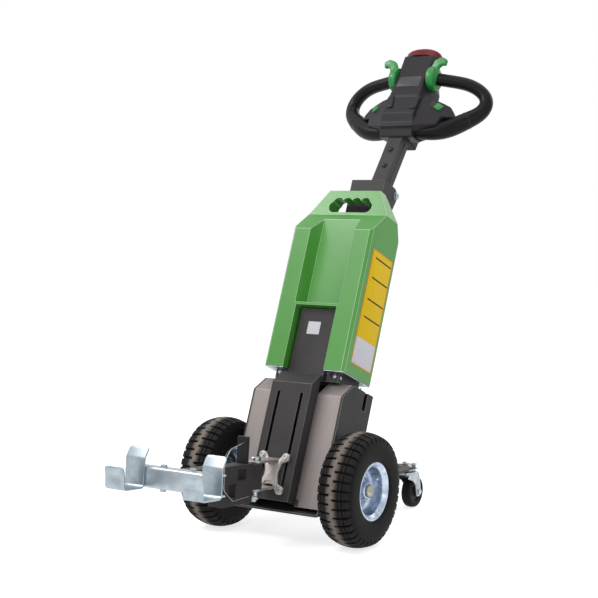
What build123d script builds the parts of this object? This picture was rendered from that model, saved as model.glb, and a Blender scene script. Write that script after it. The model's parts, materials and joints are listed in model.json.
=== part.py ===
from build123d import *
from math import cos, radians, sin
import os

# A pedestrian electric tow tractor, in millimetres. +Z is up, the towing hooks face -Y and the
# operator stands at +Y. The origin is on the floor, in the middle of the whole tractor's length.
# The body leans back: its pieces are drawn upright about the drive axle and then tilted.
# In that upright drawing y is the distance behind the axle and z the height above it.

# Stance
body_lean = 22.1            # the body's tilt from upright, degrees
tyre_radius = 130.0
tyre_width = 87.0
tyre_clearance = 21.0       # chassis side to the drive tyre
part_gap = 0.3              # gap between pieces that rest on each other and can part
moving_gap = 5.0            # gap between pieces that move past each other
pin_gap = 0.05              # radial gap of a pin in its bore

# Drive wheels
facets = 4                  # straight facets in each arc of a tyre's section
rim_radius = 64.0
rim_seat_radius = 56.0
rim_width = 74.0
rim_sheet = 3.5
rim_dish = 6.0              # how far the disc stands inside the middle plane
bead_width = 66.0
tyre_shoulder_width = 74.0
tyre_shoulder_drop = 9.0
tyre_belly_radius = 94.0
hub_radius = 24.0
hub_length = 46.0
axle_radius = 12.5
axle_flange_radius = 38.0
axle_flange_thickness = 10.0
axle_nut_radius = 15.0
axle_nut_length = 9.0

# Chassis box
chassis_half_width = 123.0
side_sheet = 5.0
cover_front = 43.0          # cover face in front of the axle
chassis_back = 94.0         # back plate behind the axle
deck_height = 236.0         # top of the chassis box
shoulder_drop = 37.0        # deck down to the top of the covers' upright face
shoulder_back = 39.0        # how far the covers' sloping top runs back
underside_drop = 57.0       # drive axle down to the underside
toe_reach = 10.0            # how far the base stands out in front of the covers
cover_foot = 64.0           # lower end of the covers below the axle
sheet = 2.0                 # stainless cover sheet
plate = 5.0                 # black steel plate
side_notch_width = 15.0
side_notch_depth = 44.0
side_notch_back = 52.0
drive_block_length = 90.0
drive_block_height = 98.0
drive_block_front = 20.0

# Centre channel on the front
channel_half_width = 54.0
channel_front = 74.5
channel_foot = 60.0
channel_bend_drop = 21.0    # deck down to the channel's bend
channel_top_rise = 10.0     # deck up to the end of the channel's sloping top
channel_top_front = 45.0
guide_front = 26.0
guide_rise = 172.0          # deck up to the top of the guide plate
guide_half_width = 48.0
guide_plate = 10.0
slot_spread = 31.0
slot_width = 8.0
slot_foot = 44.0
slot_margin = 6.0           # slot's upper end below the covers' shoulder

# Battery pack and its seat
seat_rise = 23.0            # deck up to the seat
seat_plate = 2.5
seat_block_inset = 24.0
deck_plate = 4.0
pack_half_width = 110.0
pack_front = 44.0
pack_back = 97.0
pack_edge = 7.0             # chamfer along the pack's upright edges
pack_body_height = 346.0    # seat to the front shoulder
pack_shelf_rise = 57.0      # shoulder up to the grip's foot
pack_shelf_back = 10.0      # grip's foot behind the axle
pack_grip_rise = 68.0       # grip's foot to the pack's top
pack_top_back = 22.0
pack_grip_thickness = 28.0
pack_nape_drop = 53.0       # grip's foot down to the start of the back's slope
pack_nape_back = 68.0
pack_top_half_width = 71.0
grip_hole_half_width = 60.0
grip_hole_height = 32.0
grip_hole_sill = 7.0        # grip's foot up to the hole
finger_count = 4
finger_pitch = 25.0
finger_radius = 14.0
finger_rise = 9.0           # how far the finger hollows rise above the hole
groove_half_width = 61.0
groove_floor_half_width = 50.0
groove_floor_front = 8.0
groove_sill = 11.0          # guide plate's top up to the groove's ledge
notch_half_width = 56.0

# Mast and tiller bracket
mast_half_width = 47.0
mast_front_back = 73.0      # mast face behind the axle line
mast_depth = 57.0
mast_rise = 50.0            # mast's top above the pack's
mast_foot = 110.0
mast_cheek_reach = 18.0
mast_cheek_height = 75.0
tiller_pin_drop = 17.0      # pin below the mast's top
tiller_pin_back = 140.0
tiller_pin_radius = 6.0
tiller_pin_head = 9.0
tiller_pin_head_length = 6.0
tiller_lean = 38.5          # the tiller's tilt from upright at rest, degrees

# Tiller, drawn upright about its pin: y behind the pin, z along the tube
tube_size = 40.0
tube_wall = 3.0
tube_set_forward = 9.0
tube_foot = 28.0
tube_length = 215.0
sleeve_radius = 14.0
head_foot = 168.0
head_block_half_width = 47.0
head_block_height = 113.0
head_block_chin = 57.0      # height of the block's sloping lower front
head_block_chin_front = 32.0
head_block_front = 62.0
head_block_back = 16.0
head_block_heel_rise = 20.0  # how much higher the block's foot is at its back
pod_corner = 7.0
button_half_width = 51.0
button_half_depth = 30.0
button_forward = 35.0
button_rise = 31.0
button_round = 16.0
grip_radius = 16.5
thumb_hub_radius = 33.0
thumb_hub_start = 44.0
thumb_hub_end = 66.0
thumb_hub_height = 355.0
thumb_hub_forward = 42.0
thumb_tab_forward = 52.0
thumb_tab_tilt = 20.0       # the tab's tilt forward of the tube, degrees
thumb_tab_thickness = 12.0
thumb_tab_corner = 5.5
heel_block_width = 44.0
heel_block_height = 40.0
heel_block_depth = 32.0

# The wings' front outline: distance from the middle, height along the tube
WING_OUTLINE = ((75.0, 290.0), (118.0, 279.0), (130.0, 264.0), (134.0, 248.0), (106.0, 240.0), (100.0, 212.0),
                (47.0, 190.0))

# The wings seen from above: distance from the middle, distance forward of the pin
WING_PLAN = ((47.0, 50.0), (100.0, 27.0), (140.0, 8.0), (140.0, -16.0))

# The pod's sections: height, half width at the front, half width at the back, front, back
POD_SECTIONS = ((281.0, 44.0, 66.0, 64.0, -12.0), (337.0, 41.0, 61.0, 64.0, -12.0),
                (421.0, 49.0, 30.0, 64.0, 6.0))

# The grip's bent line: distance from the middle, behind the pin, height, and the bend's radius
GRIP_LINE = ((26.0, -15.0, 200.0, 0.0), (105.0, 1.0, 203.0, 110.0), (200.0, 19.0, 289.0, 50.0),
             (200.0, 11.0, 332.0, 33.0), (154.0, -14.0, 356.0, 100.0), (30.0, -44.0, 360.0, 0.0))

# The thumb tab's outline: distance from the middle, height above the hub's middle
THUMB_TAB = ((48.0, 0.0), (67.0, 0.0), (70.0, 17.0), (80.0, 25.0), (92.0, 25.0), (92.0, 45.0), (56.0, 45.0))

# Castors
castor_inset = 23.0         # chassis side to the castor's swivel axis
castor_back = 392.0         # swivel axis behind the axle
castor_trail = 30.0
castor_wheel_radius = 40.0
castor_wheel_width = 25.0
castor_arm_height = 104.0   # underside of the castor arms above the floor
castor_arm_plate = 8.0
castor_arm_width = 44.0
castor_cross_back = 320.0
castor_plate = 3.0
castor_race_radius = 18.0
castor_race = 4.0
castor_crown_radius = 22.0
castor_crown = 5.0
castor_kingpin_radius = 6.0
castor_fork_sheet = 3.0
castor_fork_gap = 3.0
castor_fork_width = 26.0
castor_axle_radius = 5.0

# Coupling, drawn about its pin: y behind the pin, z along the pin
coupling_tilt = 4.9         # the pin's backward tilt, degrees
coupling_pin_front = 142.0  # pin in front of the axle
coupling_pin_rise = 25.0    # drive axle up to the middle of the pin
coupling_pin_radius = 8.0
jaw_top = 44.0
jaw_foot = -24.0
jaw_plate = 6.0
jaw_radius = 16.0
spider_spread = 31.0
spider_rise = 39.0
spider_plate = 9.0
spider_eye_radius = 9.0
pin_head_radius = 12.0
pin_head_height = 8.0
pin_nut_radius = 11.5
pin_nut_height = 24.0
arm_half_width = 18.0
arm_block_front = 150.0
arm_block_start = 34.0
arm_low = -45.0
arm_high = 42.0
bar_front = 300.0
bar_half_width = 112.0
bar_low = 2.0
bar_high = 47.0
bar_sheet = 3.0
bar_flange = 28.0
arm_end_half_width = 55.0
arm_end_length = 34.0
hook_spread = 99.0
hook_width = 50.0
hook_sheet = 4.0
hook_floor_depth = 68.0
hook_plate_height = 62.0
hook_lip_rise = 22.0
hook_lip_back = 13.0
hook_tab_height = 24.0
hook_tab_flare = 5.0
lever_width = 28.0
lever_sheet = 8.0
lever_front = 48.0
lever_top = 101.0

# The arm's windows: start and end in front of the pin, foot and top along the pin
ARM_WINDOWS = ((60.0, 92.0, 8.0, 32.0), (98.0, 128.0, -28.0, 2.0))

# Widths and heights that follow from the sizes above
half_track = chassis_half_width + tyre_clearance + tyre_width / 2
castor_spread = chassis_half_width - castor_inset
clearance_height = tyre_radius - underside_drop
coupling_pin_height = tyre_radius + coupling_pin_rise
shoulder_height = deck_height - shoulder_drop
channel_bend_height = deck_height - channel_bend_drop
channel_top_height = deck_height + channel_top_rise
guide_top_height = deck_height + guide_rise
slot_top = shoulder_height - slot_margin
seat_height = deck_height + seat_rise
pack_shoulder_height = seat_height + pack_body_height
pack_shelf_height = pack_shoulder_height + pack_shelf_rise
pack_nape_height = pack_shelf_height - pack_nape_drop
pack_top_height = pack_shelf_height + pack_grip_rise
grip_hole_foot = pack_shelf_height + grip_hole_sill
groove_foot = guide_top_height + groove_sill
notch_top = guide_top_height + moving_gap
mast_top = pack_top_height + mast_rise
mast_cheek_foot = mast_top - mast_cheek_height
tiller_pin_height = mast_top - tiller_pin_drop


def body(shape):
    """Tilt an upright piece of the body about the drive axle."""
    return Pos(0, 0, tyre_radius) * Rot(-body_lean, 0, 0) * shape


def tiller(shape):
    """Stand a piece of the tiller on its pin at the mast's top."""
    upright = Pos(0, tiller_pin_back, tiller_pin_height) * Rot(body_lean - tiller_lean, 0, 0)
    return body(upright * shape)


def coupling(shape):
    """Stand a piece of the coupling on its pin."""
    return Pos(0, -coupling_pin_front, coupling_pin_height) * Rot(-coupling_tilt, 0, 0) * shape


def slab(x0, x1, y0, y1, z0, z1):
    """A box between two corners."""
    centre = Pos((x0 + x1) / 2, (y0 + y1) / 2, (z0 + z1) / 2)
    return centre * Box(abs(x1 - x0), abs(y1 - y0), abs(z1 - z0))


def profile(points, x0, x1):
    """A straight-sided outline in y and z, drawn out from x0 to x1."""
    face = make_face(Polyline(*[(0, y, z) for y, z in points], close=True))
    return extrude(Pos(x0, 0, 0) * face, amount=x1 - x0, dir=(1, 0, 0))


def thickened(points, thickness):
    """A bent sheet's outline: its open line, and the same line moved to its right with mitred bends."""
    line = [Vector(y, z) for y, z in points]
    runs = [(end - start).normalized() for start, end in zip(line, line[1:])]
    moved = []
    for corner, before, after in zip(line, runs[:1] + runs, runs + runs[-1:]):
        normal = Vector(before.Y, -before.X)
        mitre = (normal + Vector(after.Y, -after.X)).normalized()
        moved.append(corner + mitre * (thickness / mitre.dot(normal)))
    return [(point.X, point.Y) for point in line + moved[::-1]]


def strip(points, thickness, x0, x1):
    """A bent sheet whose open outline in y and z is drawn out from x0 to x1."""
    return profile(thickened(points, thickness), x0, x1)


def round_x(radius, x0, x1, y=0.0, z=0.0):
    """A cylinder along x."""
    return Pos((x0 + x1) / 2, y, z) * Rot(0, 90, 0) * Cylinder(radius, abs(x1 - x0))


def round_z(radius, z0, z1, x=0.0, y=0.0):
    """A cylinder along z."""
    return Pos(x, y, (z0 + z1) / 2) * Cylinder(radius, abs(z1 - z0))


def turned_x(points, x_middle, side):
    """A ring about the x axis from points of (outward distance, radius)."""
    face = make_face(Polyline(*[(x_middle + side * a, 0, r) for a, r in points], close=True))
    return revolve(face, axis=Axis.X)


def outward(side, x0, x1):
    """The two ends of a stretch of x on one side of the tractor, lower first."""
    return sorted((side * x0, side * x1))


def mirrored(points):
    """A closed outline from the points of its +x half."""
    return points + [(-x, z) for x, z in points[::-1]]


def facing(points):
    """An outline in x and z as a face seen from the front."""
    return Plane.XZ * make_face(Polyline(*points, close=True))


def faceted(arc):
    """The corners of an arc drawn as a few straight facets, so that a turned piece has few faces."""
    return [arc @ (step / facets) for step in range(facets + 1)]


def drive_tyre(side):
    """A pneumatic tyre: bead, bulging side and rounded tread, out to the tips of its tread blocks."""
    x = side * half_track
    shoulder_radius = tyre_radius - tyre_shoulder_drop
    near_bead, far_bead = [(x + way * bead_width / 2, rim_seat_radius) for way in (1, -1)]
    near_belly, far_belly = [(x + way * tyre_width / 2, tyre_belly_radius) for way in (1, -1)]
    near_shoulder, far_shoulder = [(x + way * tyre_shoulder_width / 2, shoulder_radius) for way in (1, -1)]
    corners = faceted(ThreePointArc(near_bead, near_belly, near_shoulder))
    corners += faceted(ThreePointArc(near_shoulder, (x, tyre_radius), far_shoulder))[1:]
    corners += faceted(ThreePointArc(far_shoulder, far_belly, far_bead))[1:]
    return Pos(0, 0, tyre_radius) * revolve(make_face(Polyline(*corners, close=True)), axis=Axis.X)


def drive_rim(side):
    """A dished steel rim with its hub, bored for the axle."""
    lip, bead = rim_width / 2, bead_width / 2
    inner, lip_inner = rim_seat_radius - rim_sheet, rim_radius - rim_sheet
    bore = axle_radius + pin_gap
    outside = [(-lip, rim_radius), (-bead, rim_seat_radius), (bead, rim_seat_radius), (lip, rim_radius)]
    inside = [(lip, lip_inner), (bead - rim_sheet, inner), (rim_sheet - bead, inner), (-lip, lip_inner)]
    disc_face = rim_sheet - rim_dish
    disc = [(-rim_dish, bore), (-rim_dish, inner), (disc_face, inner), (disc_face, bore)]
    half = hub_length / 2
    hub = [(-half, bore), (-half, hub_radius), (half, hub_radius), (half, bore)]
    rim = [turned_x(ring, side * half_track, side) for ring in (outside + inside, disc, hub)]
    return Pos(0, 0, tyre_radius) * (rim[0] + rim[1:])


def drive_axle(side):
    """The stub axle: a flange on the chassis side, the shaft, and the nut outside the hub."""
    wall, hub_end = chassis_half_width, half_track + hub_length / 2
    nut_start = hub_end + part_gap
    shaft = round_x(axle_radius, *outward(side, wall, nut_start + axle_nut_length))
    flange = round_x(axle_flange_radius, *outward(side, wall, wall + axle_flange_thickness))
    nut = round_x(axle_nut_radius, *outward(side, nut_start, nut_start + axle_nut_length))
    return Pos(0, 0, tyre_radius) * (shaft + flange + nut)


def height_on(y, floor_height):
    """The upright drawing's height at a distance y where the real height above the floor is given."""
    lean = radians(body_lean)
    return (floor_height - tyre_radius + y * sin(lean)) / cos(lean)


def chassis_outline():
    """The side plate's corners: level underside, upright front, sloping shoulder and straight back."""
    toe, face = -cover_front - toe_reach, -cover_front
    front = [(toe, height_on(toe, clearance_height)), (face, -cover_foot), (face, shoulder_height)]
    back = [(chassis_back, deck_height), (chassis_back, height_on(chassis_back, clearance_height))]
    return front + [(face + shoulder_back, deck_height)] + back


def side_plate(side):
    """A side of the chassis box, notched at its top and open for the axle's flange."""
    sheet_x = outward(side, chassis_half_width - side_sheet, chassis_half_width)
    wall = profile(chassis_outline(), *sheet_x)
    notch = slab(*sheet_x, side_notch_back, side_notch_back + side_notch_width,
                 deck_height - side_notch_depth, deck_height)
    return body(wall - notch)


def base_plate():
    """The level sheet under the chassis box, standing out as a toe in front."""
    toe, heel = chassis_outline()[0], chassis_outline()[-1]
    half = chassis_half_width - side_sheet
    return body(strip([heel, toe], plate, -half, half))


def back_plate():
    """The upright sheet behind the chassis box."""
    half = chassis_half_width - side_sheet
    foot = height_on(chassis_back, clearance_height) + plate
    return body(slab(-half, half, chassis_back - plate, chassis_back, foot, deck_height - deck_plate))


def deck():
    """The top of the chassis box, open where the mast and the channel pass."""
    half = chassis_half_width - side_sheet
    front = shoulder_back - cover_front + deck_plate
    return body(slab(-half, half, front, chassis_back, deck_height - deck_plate, deck_height))


def cover(side):
    """A brushed stainless cover: its upright face and its sloping top."""
    line = chassis_outline()[1:4]
    return body(strip(line, sheet, *outward(side, channel_half_width, chassis_half_width - side_sheet)))


def centre_channel():
    """The slotted channel on the front, bending back and rising into the pack's notch."""
    face, half, guide = -channel_front, channel_half_width, guide_half_width
    line = [(face, -channel_foot), (face, channel_bend_height), (-channel_top_front, channel_top_height)]
    web = strip(line, plate, -half, half)
    flange_outline = line + [(sheet - cover_front, channel_top_height), (sheet - cover_front, -channel_foot)]
    flanges = profile(flange_outline, -half, plate - half) + profile(flange_outline, half - plate, half)
    slots = [slab(x - slot_width / 2, x + slot_width / 2, face - plate, face + plate, -slot_foot, slot_top)
             for x in (-slot_spread, slot_spread)]
    guide_back = guide_plate - guide_front
    tongue = slab(-guide, guide, -guide_front, guide_back, deck_height, guide_top_height)
    shelf = slab(-guide, guide, -channel_top_front, guide_back, deck_height, channel_top_height)
    return body((web + flanges + tongue + shelf) - slots)


def drive_block():
    """The motors and gearboxes inside the chassis, as one block about the axle."""
    half = chassis_half_width - side_sheet - part_gap
    foot = clearance_height + plate + part_gap
    back = drive_block_length - drive_block_front
    return slab(-half, half, -drive_block_front, back, foot, foot + drive_block_height)


def seat_cut():
    """The room that the seat's plates leave for the channel in front and the mast behind."""
    guide_back = guide_plate - guide_front + part_gap
    front = slab(-notch_half_width, notch_half_width, -pack_back, guide_back, 0, seat_height)
    back = slab(-groove_room(), groove_room(), mast_front_back - part_gap, pack_back, 0, seat_height)
    return front + back


def groove_room():
    """Half the width of the groove in which the pack passes the mast."""
    return mast_half_width + moving_gap


def seat_block():
    """The spacer that carries the pack's seat on the deck."""
    half = pack_half_width - seat_block_inset
    front, back = seat_block_inset - pack_front, chassis_back - seat_block_inset / 2
    return body(slab(-half, half, front, back, deck_height, seat_height - seat_plate) - seat_cut())


def seat_sheet():
    """The bare metal plate on which the pack stands."""
    half = pack_half_width - seat_plate
    top = slab(-half, half, -pack_front + seat_plate, chassis_back, seat_height - seat_plate, seat_height)
    return body(top - seat_cut())


def mast():
    """The channel that rises behind the pack, with cheeks at its top for the tiller's pin."""
    front, back, half = mast_front_back, mast_front_back + mast_depth, mast_half_width
    upper_web = slab(-half, half, front, front + plate, deck_height, mast_top)
    low_web = slab(-half, half, chassis_back, chassis_back + plate, mast_foot, deck_height)
    step = [(front, deck_height), (chassis_back, deck_height)]
    foot = [(chassis_back, mast_foot), (back, mast_foot)]
    bracket = back + mast_cheek_reach
    bracket_line = [(back, mast_cheek_foot), (bracket, tiller_pin_height - tiller_pin_head),
                    (bracket, tiller_pin_height + tiller_pin_head), (back, mast_top), (front, mast_top)]
    cheeks = [profile(step + foot + bracket_line, *outward(side, half - plate, half)) for side in (-1, 1)]
    hole = round_x(tiller_pin_radius + pin_gap, -half, half, tiller_pin_back, tiller_pin_height)
    return body((upper_web + low_web + cheeks) - hole)


def tiller_pin():
    """The bolt on which the tiller tips, with a hexagon head at each end."""
    half, head_half = mast_half_width, tiller_pin_head_length / 2
    shank = round_x(tiller_pin_radius, -half, half, tiller_pin_back, tiller_pin_height)
    head = Rot(0, 90, 0) * extrude(RegularPolygon(tiller_pin_head, 6), amount=head_half, both=True)
    heads = [Pos(side * (half + head_half), tiller_pin_back, tiller_pin_height) * head for side in (-1, 1)]
    return body(shank + heads)


def grip_hole():
    """The pack's hand hole, with hollows for the fingers along its top."""
    middle = grip_hole_foot + grip_hole_height / 2
    opening = Pos(0, middle) * SlotOverall(2 * grip_hole_half_width, grip_hole_height)
    hollow_height = grip_hole_foot + grip_hole_height + finger_rise - finger_radius
    for finger in range(finger_count):
        x = (finger - (finger_count - 1) / 2) * finger_pitch
        opening += Pos(x, hollow_height) * Circle(finger_radius)
    return extrude(Plane.XZ * opening, amount=pack_back, both=True)


def pack_case():
    """The moulded battery case: body, sloping shelf, grip with its hole, and the grooves it slides by."""
    foot, half, top, face = seat_height + part_gap, pack_half_width, pack_top_height, -pack_front
    front_line = [(face, foot), (face, pack_shoulder_height), (pack_shelf_back, pack_shelf_height)]
    back_line = [(pack_nape_back, pack_shelf_height), (pack_back, pack_nape_height), (pack_back, foot)]
    top_line = [(pack_top_back, top), (pack_top_back + pack_grip_thickness, top)]
    case = profile(front_line + top_line + back_line, -half, half)
    upright_edges = [edge for edge in case.edges().filter_by(Axis.Z) if edge.length > pack_body_height / 2]
    case = chamfer(upright_edges, pack_edge)
    corner = [(half, pack_shelf_height), (pack_top_half_width, top), (half, top)]
    for side in (-1, 1):
        case -= extrude(facing([(side * x, z) for x, z in corner]), amount=pack_back, both=True)
    case -= grip_hole()
    guide_back = guide_plate + moving_gap - guide_front
    case -= slab(-notch_half_width, notch_half_width, -pack_back, guide_back, foot, notch_top)
    wall, floor = groove_half_width, groove_floor_half_width
    groove_line = mirrored([(floor, -groove_floor_front), (wall, face), (wall, -pack_back)])
    groove = extrude(make_face(Polyline(*groove_line, close=True)), amount=top - groove_foot)
    case -= Pos(0, 0, groove_foot) * groove
    case -= slab(-groove_room(), groove_room(), mast_front_back - moving_gap, pack_back, foot, top)
    return body(case)


def tiller_tube():
    """The square tube of the tiller with the sleeve on its pin."""
    y = -tube_set_forward
    half, inner = tube_size / 2, tube_size / 2 - tube_wall
    tube = slab(-half, half, y - half, y + half, -tube_foot, tube_length)
    tube -= slab(-inner, inner, y - inner, y + inner, -tube_foot, tube_length)
    reach = mast_half_width - plate - part_gap
    sleeve = round_x(sleeve_radius, -reach, reach)
    bore = round_x(tiller_pin_radius + pin_gap, -mast_half_width, mast_half_width)
    return tiller((tube + sleeve) - bore)


def head_wings():
    """The wings of the head block: their front outline cut with their outline seen from above."""
    front = extrude(facing(mirrored(list(WING_OUTLINE))), amount=head_block_front, both=True)
    plan = make_face(Polyline(*mirrored([(x, -forward) for x, forward in WING_PLAN]), close=True))
    top = WING_OUTLINE[0][1]
    return front & Pos(0, 0, head_foot) * extrude(plan, amount=top - head_foot)


def head_block():
    """The moulded block that joins the tube to the grip, with a wing each side for the push buttons."""
    foot, top, half = head_foot, head_foot + head_block_height, head_block_half_width
    face = -head_block_front
    front_line = [(-head_block_chin_front, foot), (face, foot + head_block_chin), (face, top)]
    outline = front_line + [(head_block_back, top), (head_block_back, foot + head_block_heel_rise)]
    y, room = -tube_set_forward, tube_size / 2
    bore = slab(-room, room, y - room, y + room, foot, tube_length)
    return tiller((profile(outline, -half, half) + head_wings()) - bore - grip_core())


def grip_core():
    """The grip's round tube: one bent run each side, from inside the block up into the pod."""
    tubes = []
    for side in (-1, 1):
        corners = [(side * x, y, z) for x, y, z, _ in GRIP_LINE]
        path = FilletPolyline(*corners, radius=[radius for *_, radius in GRIP_LINE[1:-1]])
        tubes.append(sweep(Plane(path @ 0, z_dir=path % 0) * Circle(grip_radius), path=path))
    return tubes


def grip():
    """The grip's two bent runs, as a piece."""
    return tiller(Compound(grip_core()))


def pod_core():
    """The moulded pod that rises from the block to the safety button."""
    sections = []
    for height, front_half, back_half, front, back in POD_SECTIONS:
        corners = mirrored([(front_half, -front), (back_half, -back)])
        section = make_face(Polyline(*corners, close=True))
        sections.append(Pos(0, 0, height) * fillet(section.vertices(), pod_corner))
    return loft(sections, ruled=True)


def pod():
    """The pod as a piece, seated on the block and around the grip's upper ends."""
    return tiller(pod_core() - head_wings() - grip_core())


def safety_button():
    """The domed cap on the pod's top."""
    pod_top = POD_SECTIONS[-1][0]
    cap = extrude(Ellipse(button_half_width, button_half_depth), amount=button_rise)
    cap = fillet(cap.edges().sort_by(Axis.Z)[-1], button_round)
    return tiller(Pos(0, -button_forward, pod_top) * cap)


def thumb_wing(side):
    """A thumb control: a ring on the grip beside the pod, with a tab that leans forward and outward."""
    start, end = outward(side, thumb_hub_start, thumb_hub_end)
    hub = round_x(thumb_hub_radius, start, end, -thumb_hub_forward, thumb_hub_height)
    tab = facing([(side * x, z) for x, z in THUMB_TAB])
    tab = fillet(tab.vertices(), thumb_tab_corner)
    tab = Rot(thumb_tab_tilt, 0, 0) * extrude(tab, amount=thumb_tab_thickness / 2, both=True)
    placed = hub + Pos(0, -thumb_tab_forward, thumb_hub_height) * tab
    return tiller(placed - pod_core() - grip_core())


def heel_block():
    """The small housing on the block's back, behind the tube."""
    y, half, foot = head_block_back, heel_block_width / 2, head_foot + head_block_heel_rise
    return tiller(slab(-half, half, y, y + heel_block_depth, foot, foot + heel_block_height))


def castor_arm(side):
    """The flat arm that carries a castor behind the chassis, from the back plate to its round end."""
    foot, top = castor_arm_height, castor_arm_height + castor_arm_plate
    x, half = side * castor_spread, castor_arm_width / 2
    arm = slab(x - half, x + half, 0, castor_back, foot, top) + round_z(half, foot, top, x, castor_back)
    wide = chassis_half_width
    inside = slab(-wide, wide, -cover_front, chassis_back, -tyre_radius, deck_height)
    return arm - body(inside)


def castor_cross():
    """The bar between the two castor arms."""
    half = castor_spread - castor_arm_width / 2
    return slab(-half, half, castor_cross_back, castor_cross_back + castor_arm_width,
                castor_arm_height, castor_arm_height + castor_arm_plate)


def crown_top():
    """The top of a castor fork's crown, just under the fixed race."""
    return castor_arm_height - castor_plate - castor_race - part_gap


def castor_head(side):
    """A castor's fixed half: mounting plate, bearing race and kingpin."""
    top = castor_arm_height
    x, half = side * castor_spread, castor_arm_width / 2
    plate_foot = top - castor_plate
    plate_top = slab(x - half, x + half, castor_back - half, castor_back + half, plate_foot, top)
    race = round_z(castor_race_radius, plate_foot - castor_race, plate_foot, x, castor_back)
    kingpin = round_z(castor_kingpin_radius, crown_top() - castor_crown, plate_foot, x, castor_back)
    return plate_top + race + kingpin


def castor_fork(side):
    """A castor's swivelling fork with the wheel's axle bolt."""
    x = side * castor_spread
    top, half = crown_top(), castor_fork_width / 2
    inner = castor_wheel_width / 2 + castor_fork_gap
    axle_y, axle_z = castor_back + castor_trail, castor_wheel_radius
    crown = round_z(castor_crown_radius, top - castor_crown, top, x, castor_back)
    bore = round_z(castor_kingpin_radius + pin_gap, 0, castor_arm_height, x, castor_back)
    leg_top = [(castor_back - castor_crown_radius / 2, top), (castor_back + castor_crown_radius, top)]
    leg = leg_top + [(axle_y + half, axle_z), (axle_y, axle_z - half), (axle_y - half, axle_z)]
    fork = crown - bore
    for way in (-1, 1):
        fork += Pos(x, 0, 0) * profile(leg, *outward(way, inner, inner + castor_fork_sheet))
    reach = inner + castor_fork_sheet + castor_axle_radius
    return fork + round_x(castor_axle_radius, x - reach, x + reach, axle_y, axle_z)


def castor_wheel(side):
    """A castor's solid wheel, bored for its axle bolt."""
    x, half = side * castor_spread, castor_wheel_width / 2
    y, z = castor_back + castor_trail, castor_wheel_radius
    wheel = round_x(castor_wheel_radius, x - half, x + half, y, z)
    wheel = chamfer(wheel.edges(), half / 2, half / 4)
    return wheel - round_x(castor_axle_radius + pin_gap, x - half, x + half, y, z)


def spider():
    """The cast clevis: four arms bolted in the channel's slots and two jaws on the pin."""
    face, wide = -channel_front, chassis_half_width
    upright = slab(-jaw_radius, jaw_radius, face - spider_plate, face, -spider_rise, spider_rise)
    arm = SlotOverall(spider_spread + 2 * spider_eye_radius, 2 * spider_eye_radius)
    for x in (-spider_spread / 2, spider_spread / 2):
        for z in (-spider_rise, spider_rise):
            upright += Pos(x, face, z) * extrude(Plane.XZ * arm, amount=spider_plate)
    behind = body(slab(-wide, wide, face, chassis_back, -tyre_radius, deck_height))
    jaws = []
    for foot in (jaw_foot, jaw_top - jaw_plate):
        tongue = round_z(jaw_radius, foot, foot + jaw_plate)
        tongue += slab(-jaw_radius, jaw_radius, 0, coupling_pin_front, foot, foot + jaw_plate)
        jaws.append(coupling(tongue) - behind)
    return body(upright) + jaws - coupling(round_z(coupling_pin_radius, jaw_foot, jaw_top))


def coupling_pin():
    """The upright pin of the coupling with its head and the sleeve nut below."""
    pin = round_z(coupling_pin_radius, jaw_foot, jaw_top)
    pin += round_z(pin_head_radius, jaw_top, jaw_top + pin_head_height)
    pin += round_z(pin_nut_radius, jaw_foot - pin_nut_height, jaw_foot)
    return coupling(pin)


def coupling_arm():
    """The black arm from the pin to the cross bar, with windows through its block."""
    low, high = jaw_foot + jaw_plate + part_gap, jaw_top - jaw_plate - part_gap
    half, wide = arm_half_width, arm_end_half_width
    arm = round_z(jaw_radius, low, high) + slab(-half, half, -arm_block_start, 0, low, high)
    arm += slab(-half, half, -arm_block_front, -arm_block_start, arm_low, arm_high)
    bar_inside, bar_in_low, bar_in_high = bar_sheet - bar_front, bar_low + bar_sheet, bar_high - bar_sheet
    arm += slab(-half, half, bar_inside, -arm_block_front, bar_in_low, bar_in_high)
    arm += slab(-wide, wide, bar_inside, bar_inside + arm_end_length, bar_in_low, bar_in_high)
    windows = [slab(-half, half, -f1, -f0, z0, z1) for f0, f1, z0, z1 in ARM_WINDOWS]
    bore = round_z(coupling_pin_radius + pin_gap, low, high)
    return coupling(arm - windows - bore)


def cross_bar():
    """The plated channel across the arm's end that carries the two hooks."""
    face, back = -bar_front, bar_flange - bar_front
    line = [(back, bar_low), (face, bar_low), (face, bar_high), (back, bar_high)]
    return coupling(strip(line, bar_sheet, -bar_half_width, bar_half_width))


def hook(side):
    """A bent towing hook: lip, back plate, floor and flared front tab."""
    back, front = -bar_front, -bar_front - hook_floor_depth
    tab = [(front - hook_tab_flare, 2 * hook_tab_height), (front, hook_tab_height), (front, 0)]
    lip = [(back, 0), (back, hook_plate_height), (back + hook_lip_back, hook_plate_height + hook_lip_rise)]
    x = side * hook_spread
    return coupling(strip(tab + lip, -hook_sheet, x - hook_width / 2, x + hook_width / 2))


def lock_lever():
    """The upright plate on the arm's block."""
    half = lever_width / 2
    return coupling(slab(-half, half, -lever_front - lever_sheet, -lever_front, arm_high, lever_top))


SINGLE_PIECES = (base_plate, back_plate, deck, centre_channel, drive_block, seat_block, seat_sheet, mast,
                 tiller_pin, castor_cross, spider, coupling_pin, pack_case, tiller_tube, head_block, grip,
                 pod, safety_button, heel_block, coupling_arm, cross_bar, lock_lever)

PAIRED_PIECES = (side_plate, cover, drive_axle, drive_tyre, drive_rim, castor_arm, castor_head, castor_fork,
                 castor_wheel, thumb_wing, hook)


def build():
    """Every piece by its name, those in pairs once for each side."""
    pieces = {piece.__name__: piece() for piece in SINGLE_PIECES}
    for piece in PAIRED_PIECES:
        for name, side in (("left", -1), ("right", 1)):
            pieces[f"{piece.__name__}_{name}"] = piece(side)
    return pieces


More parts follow.
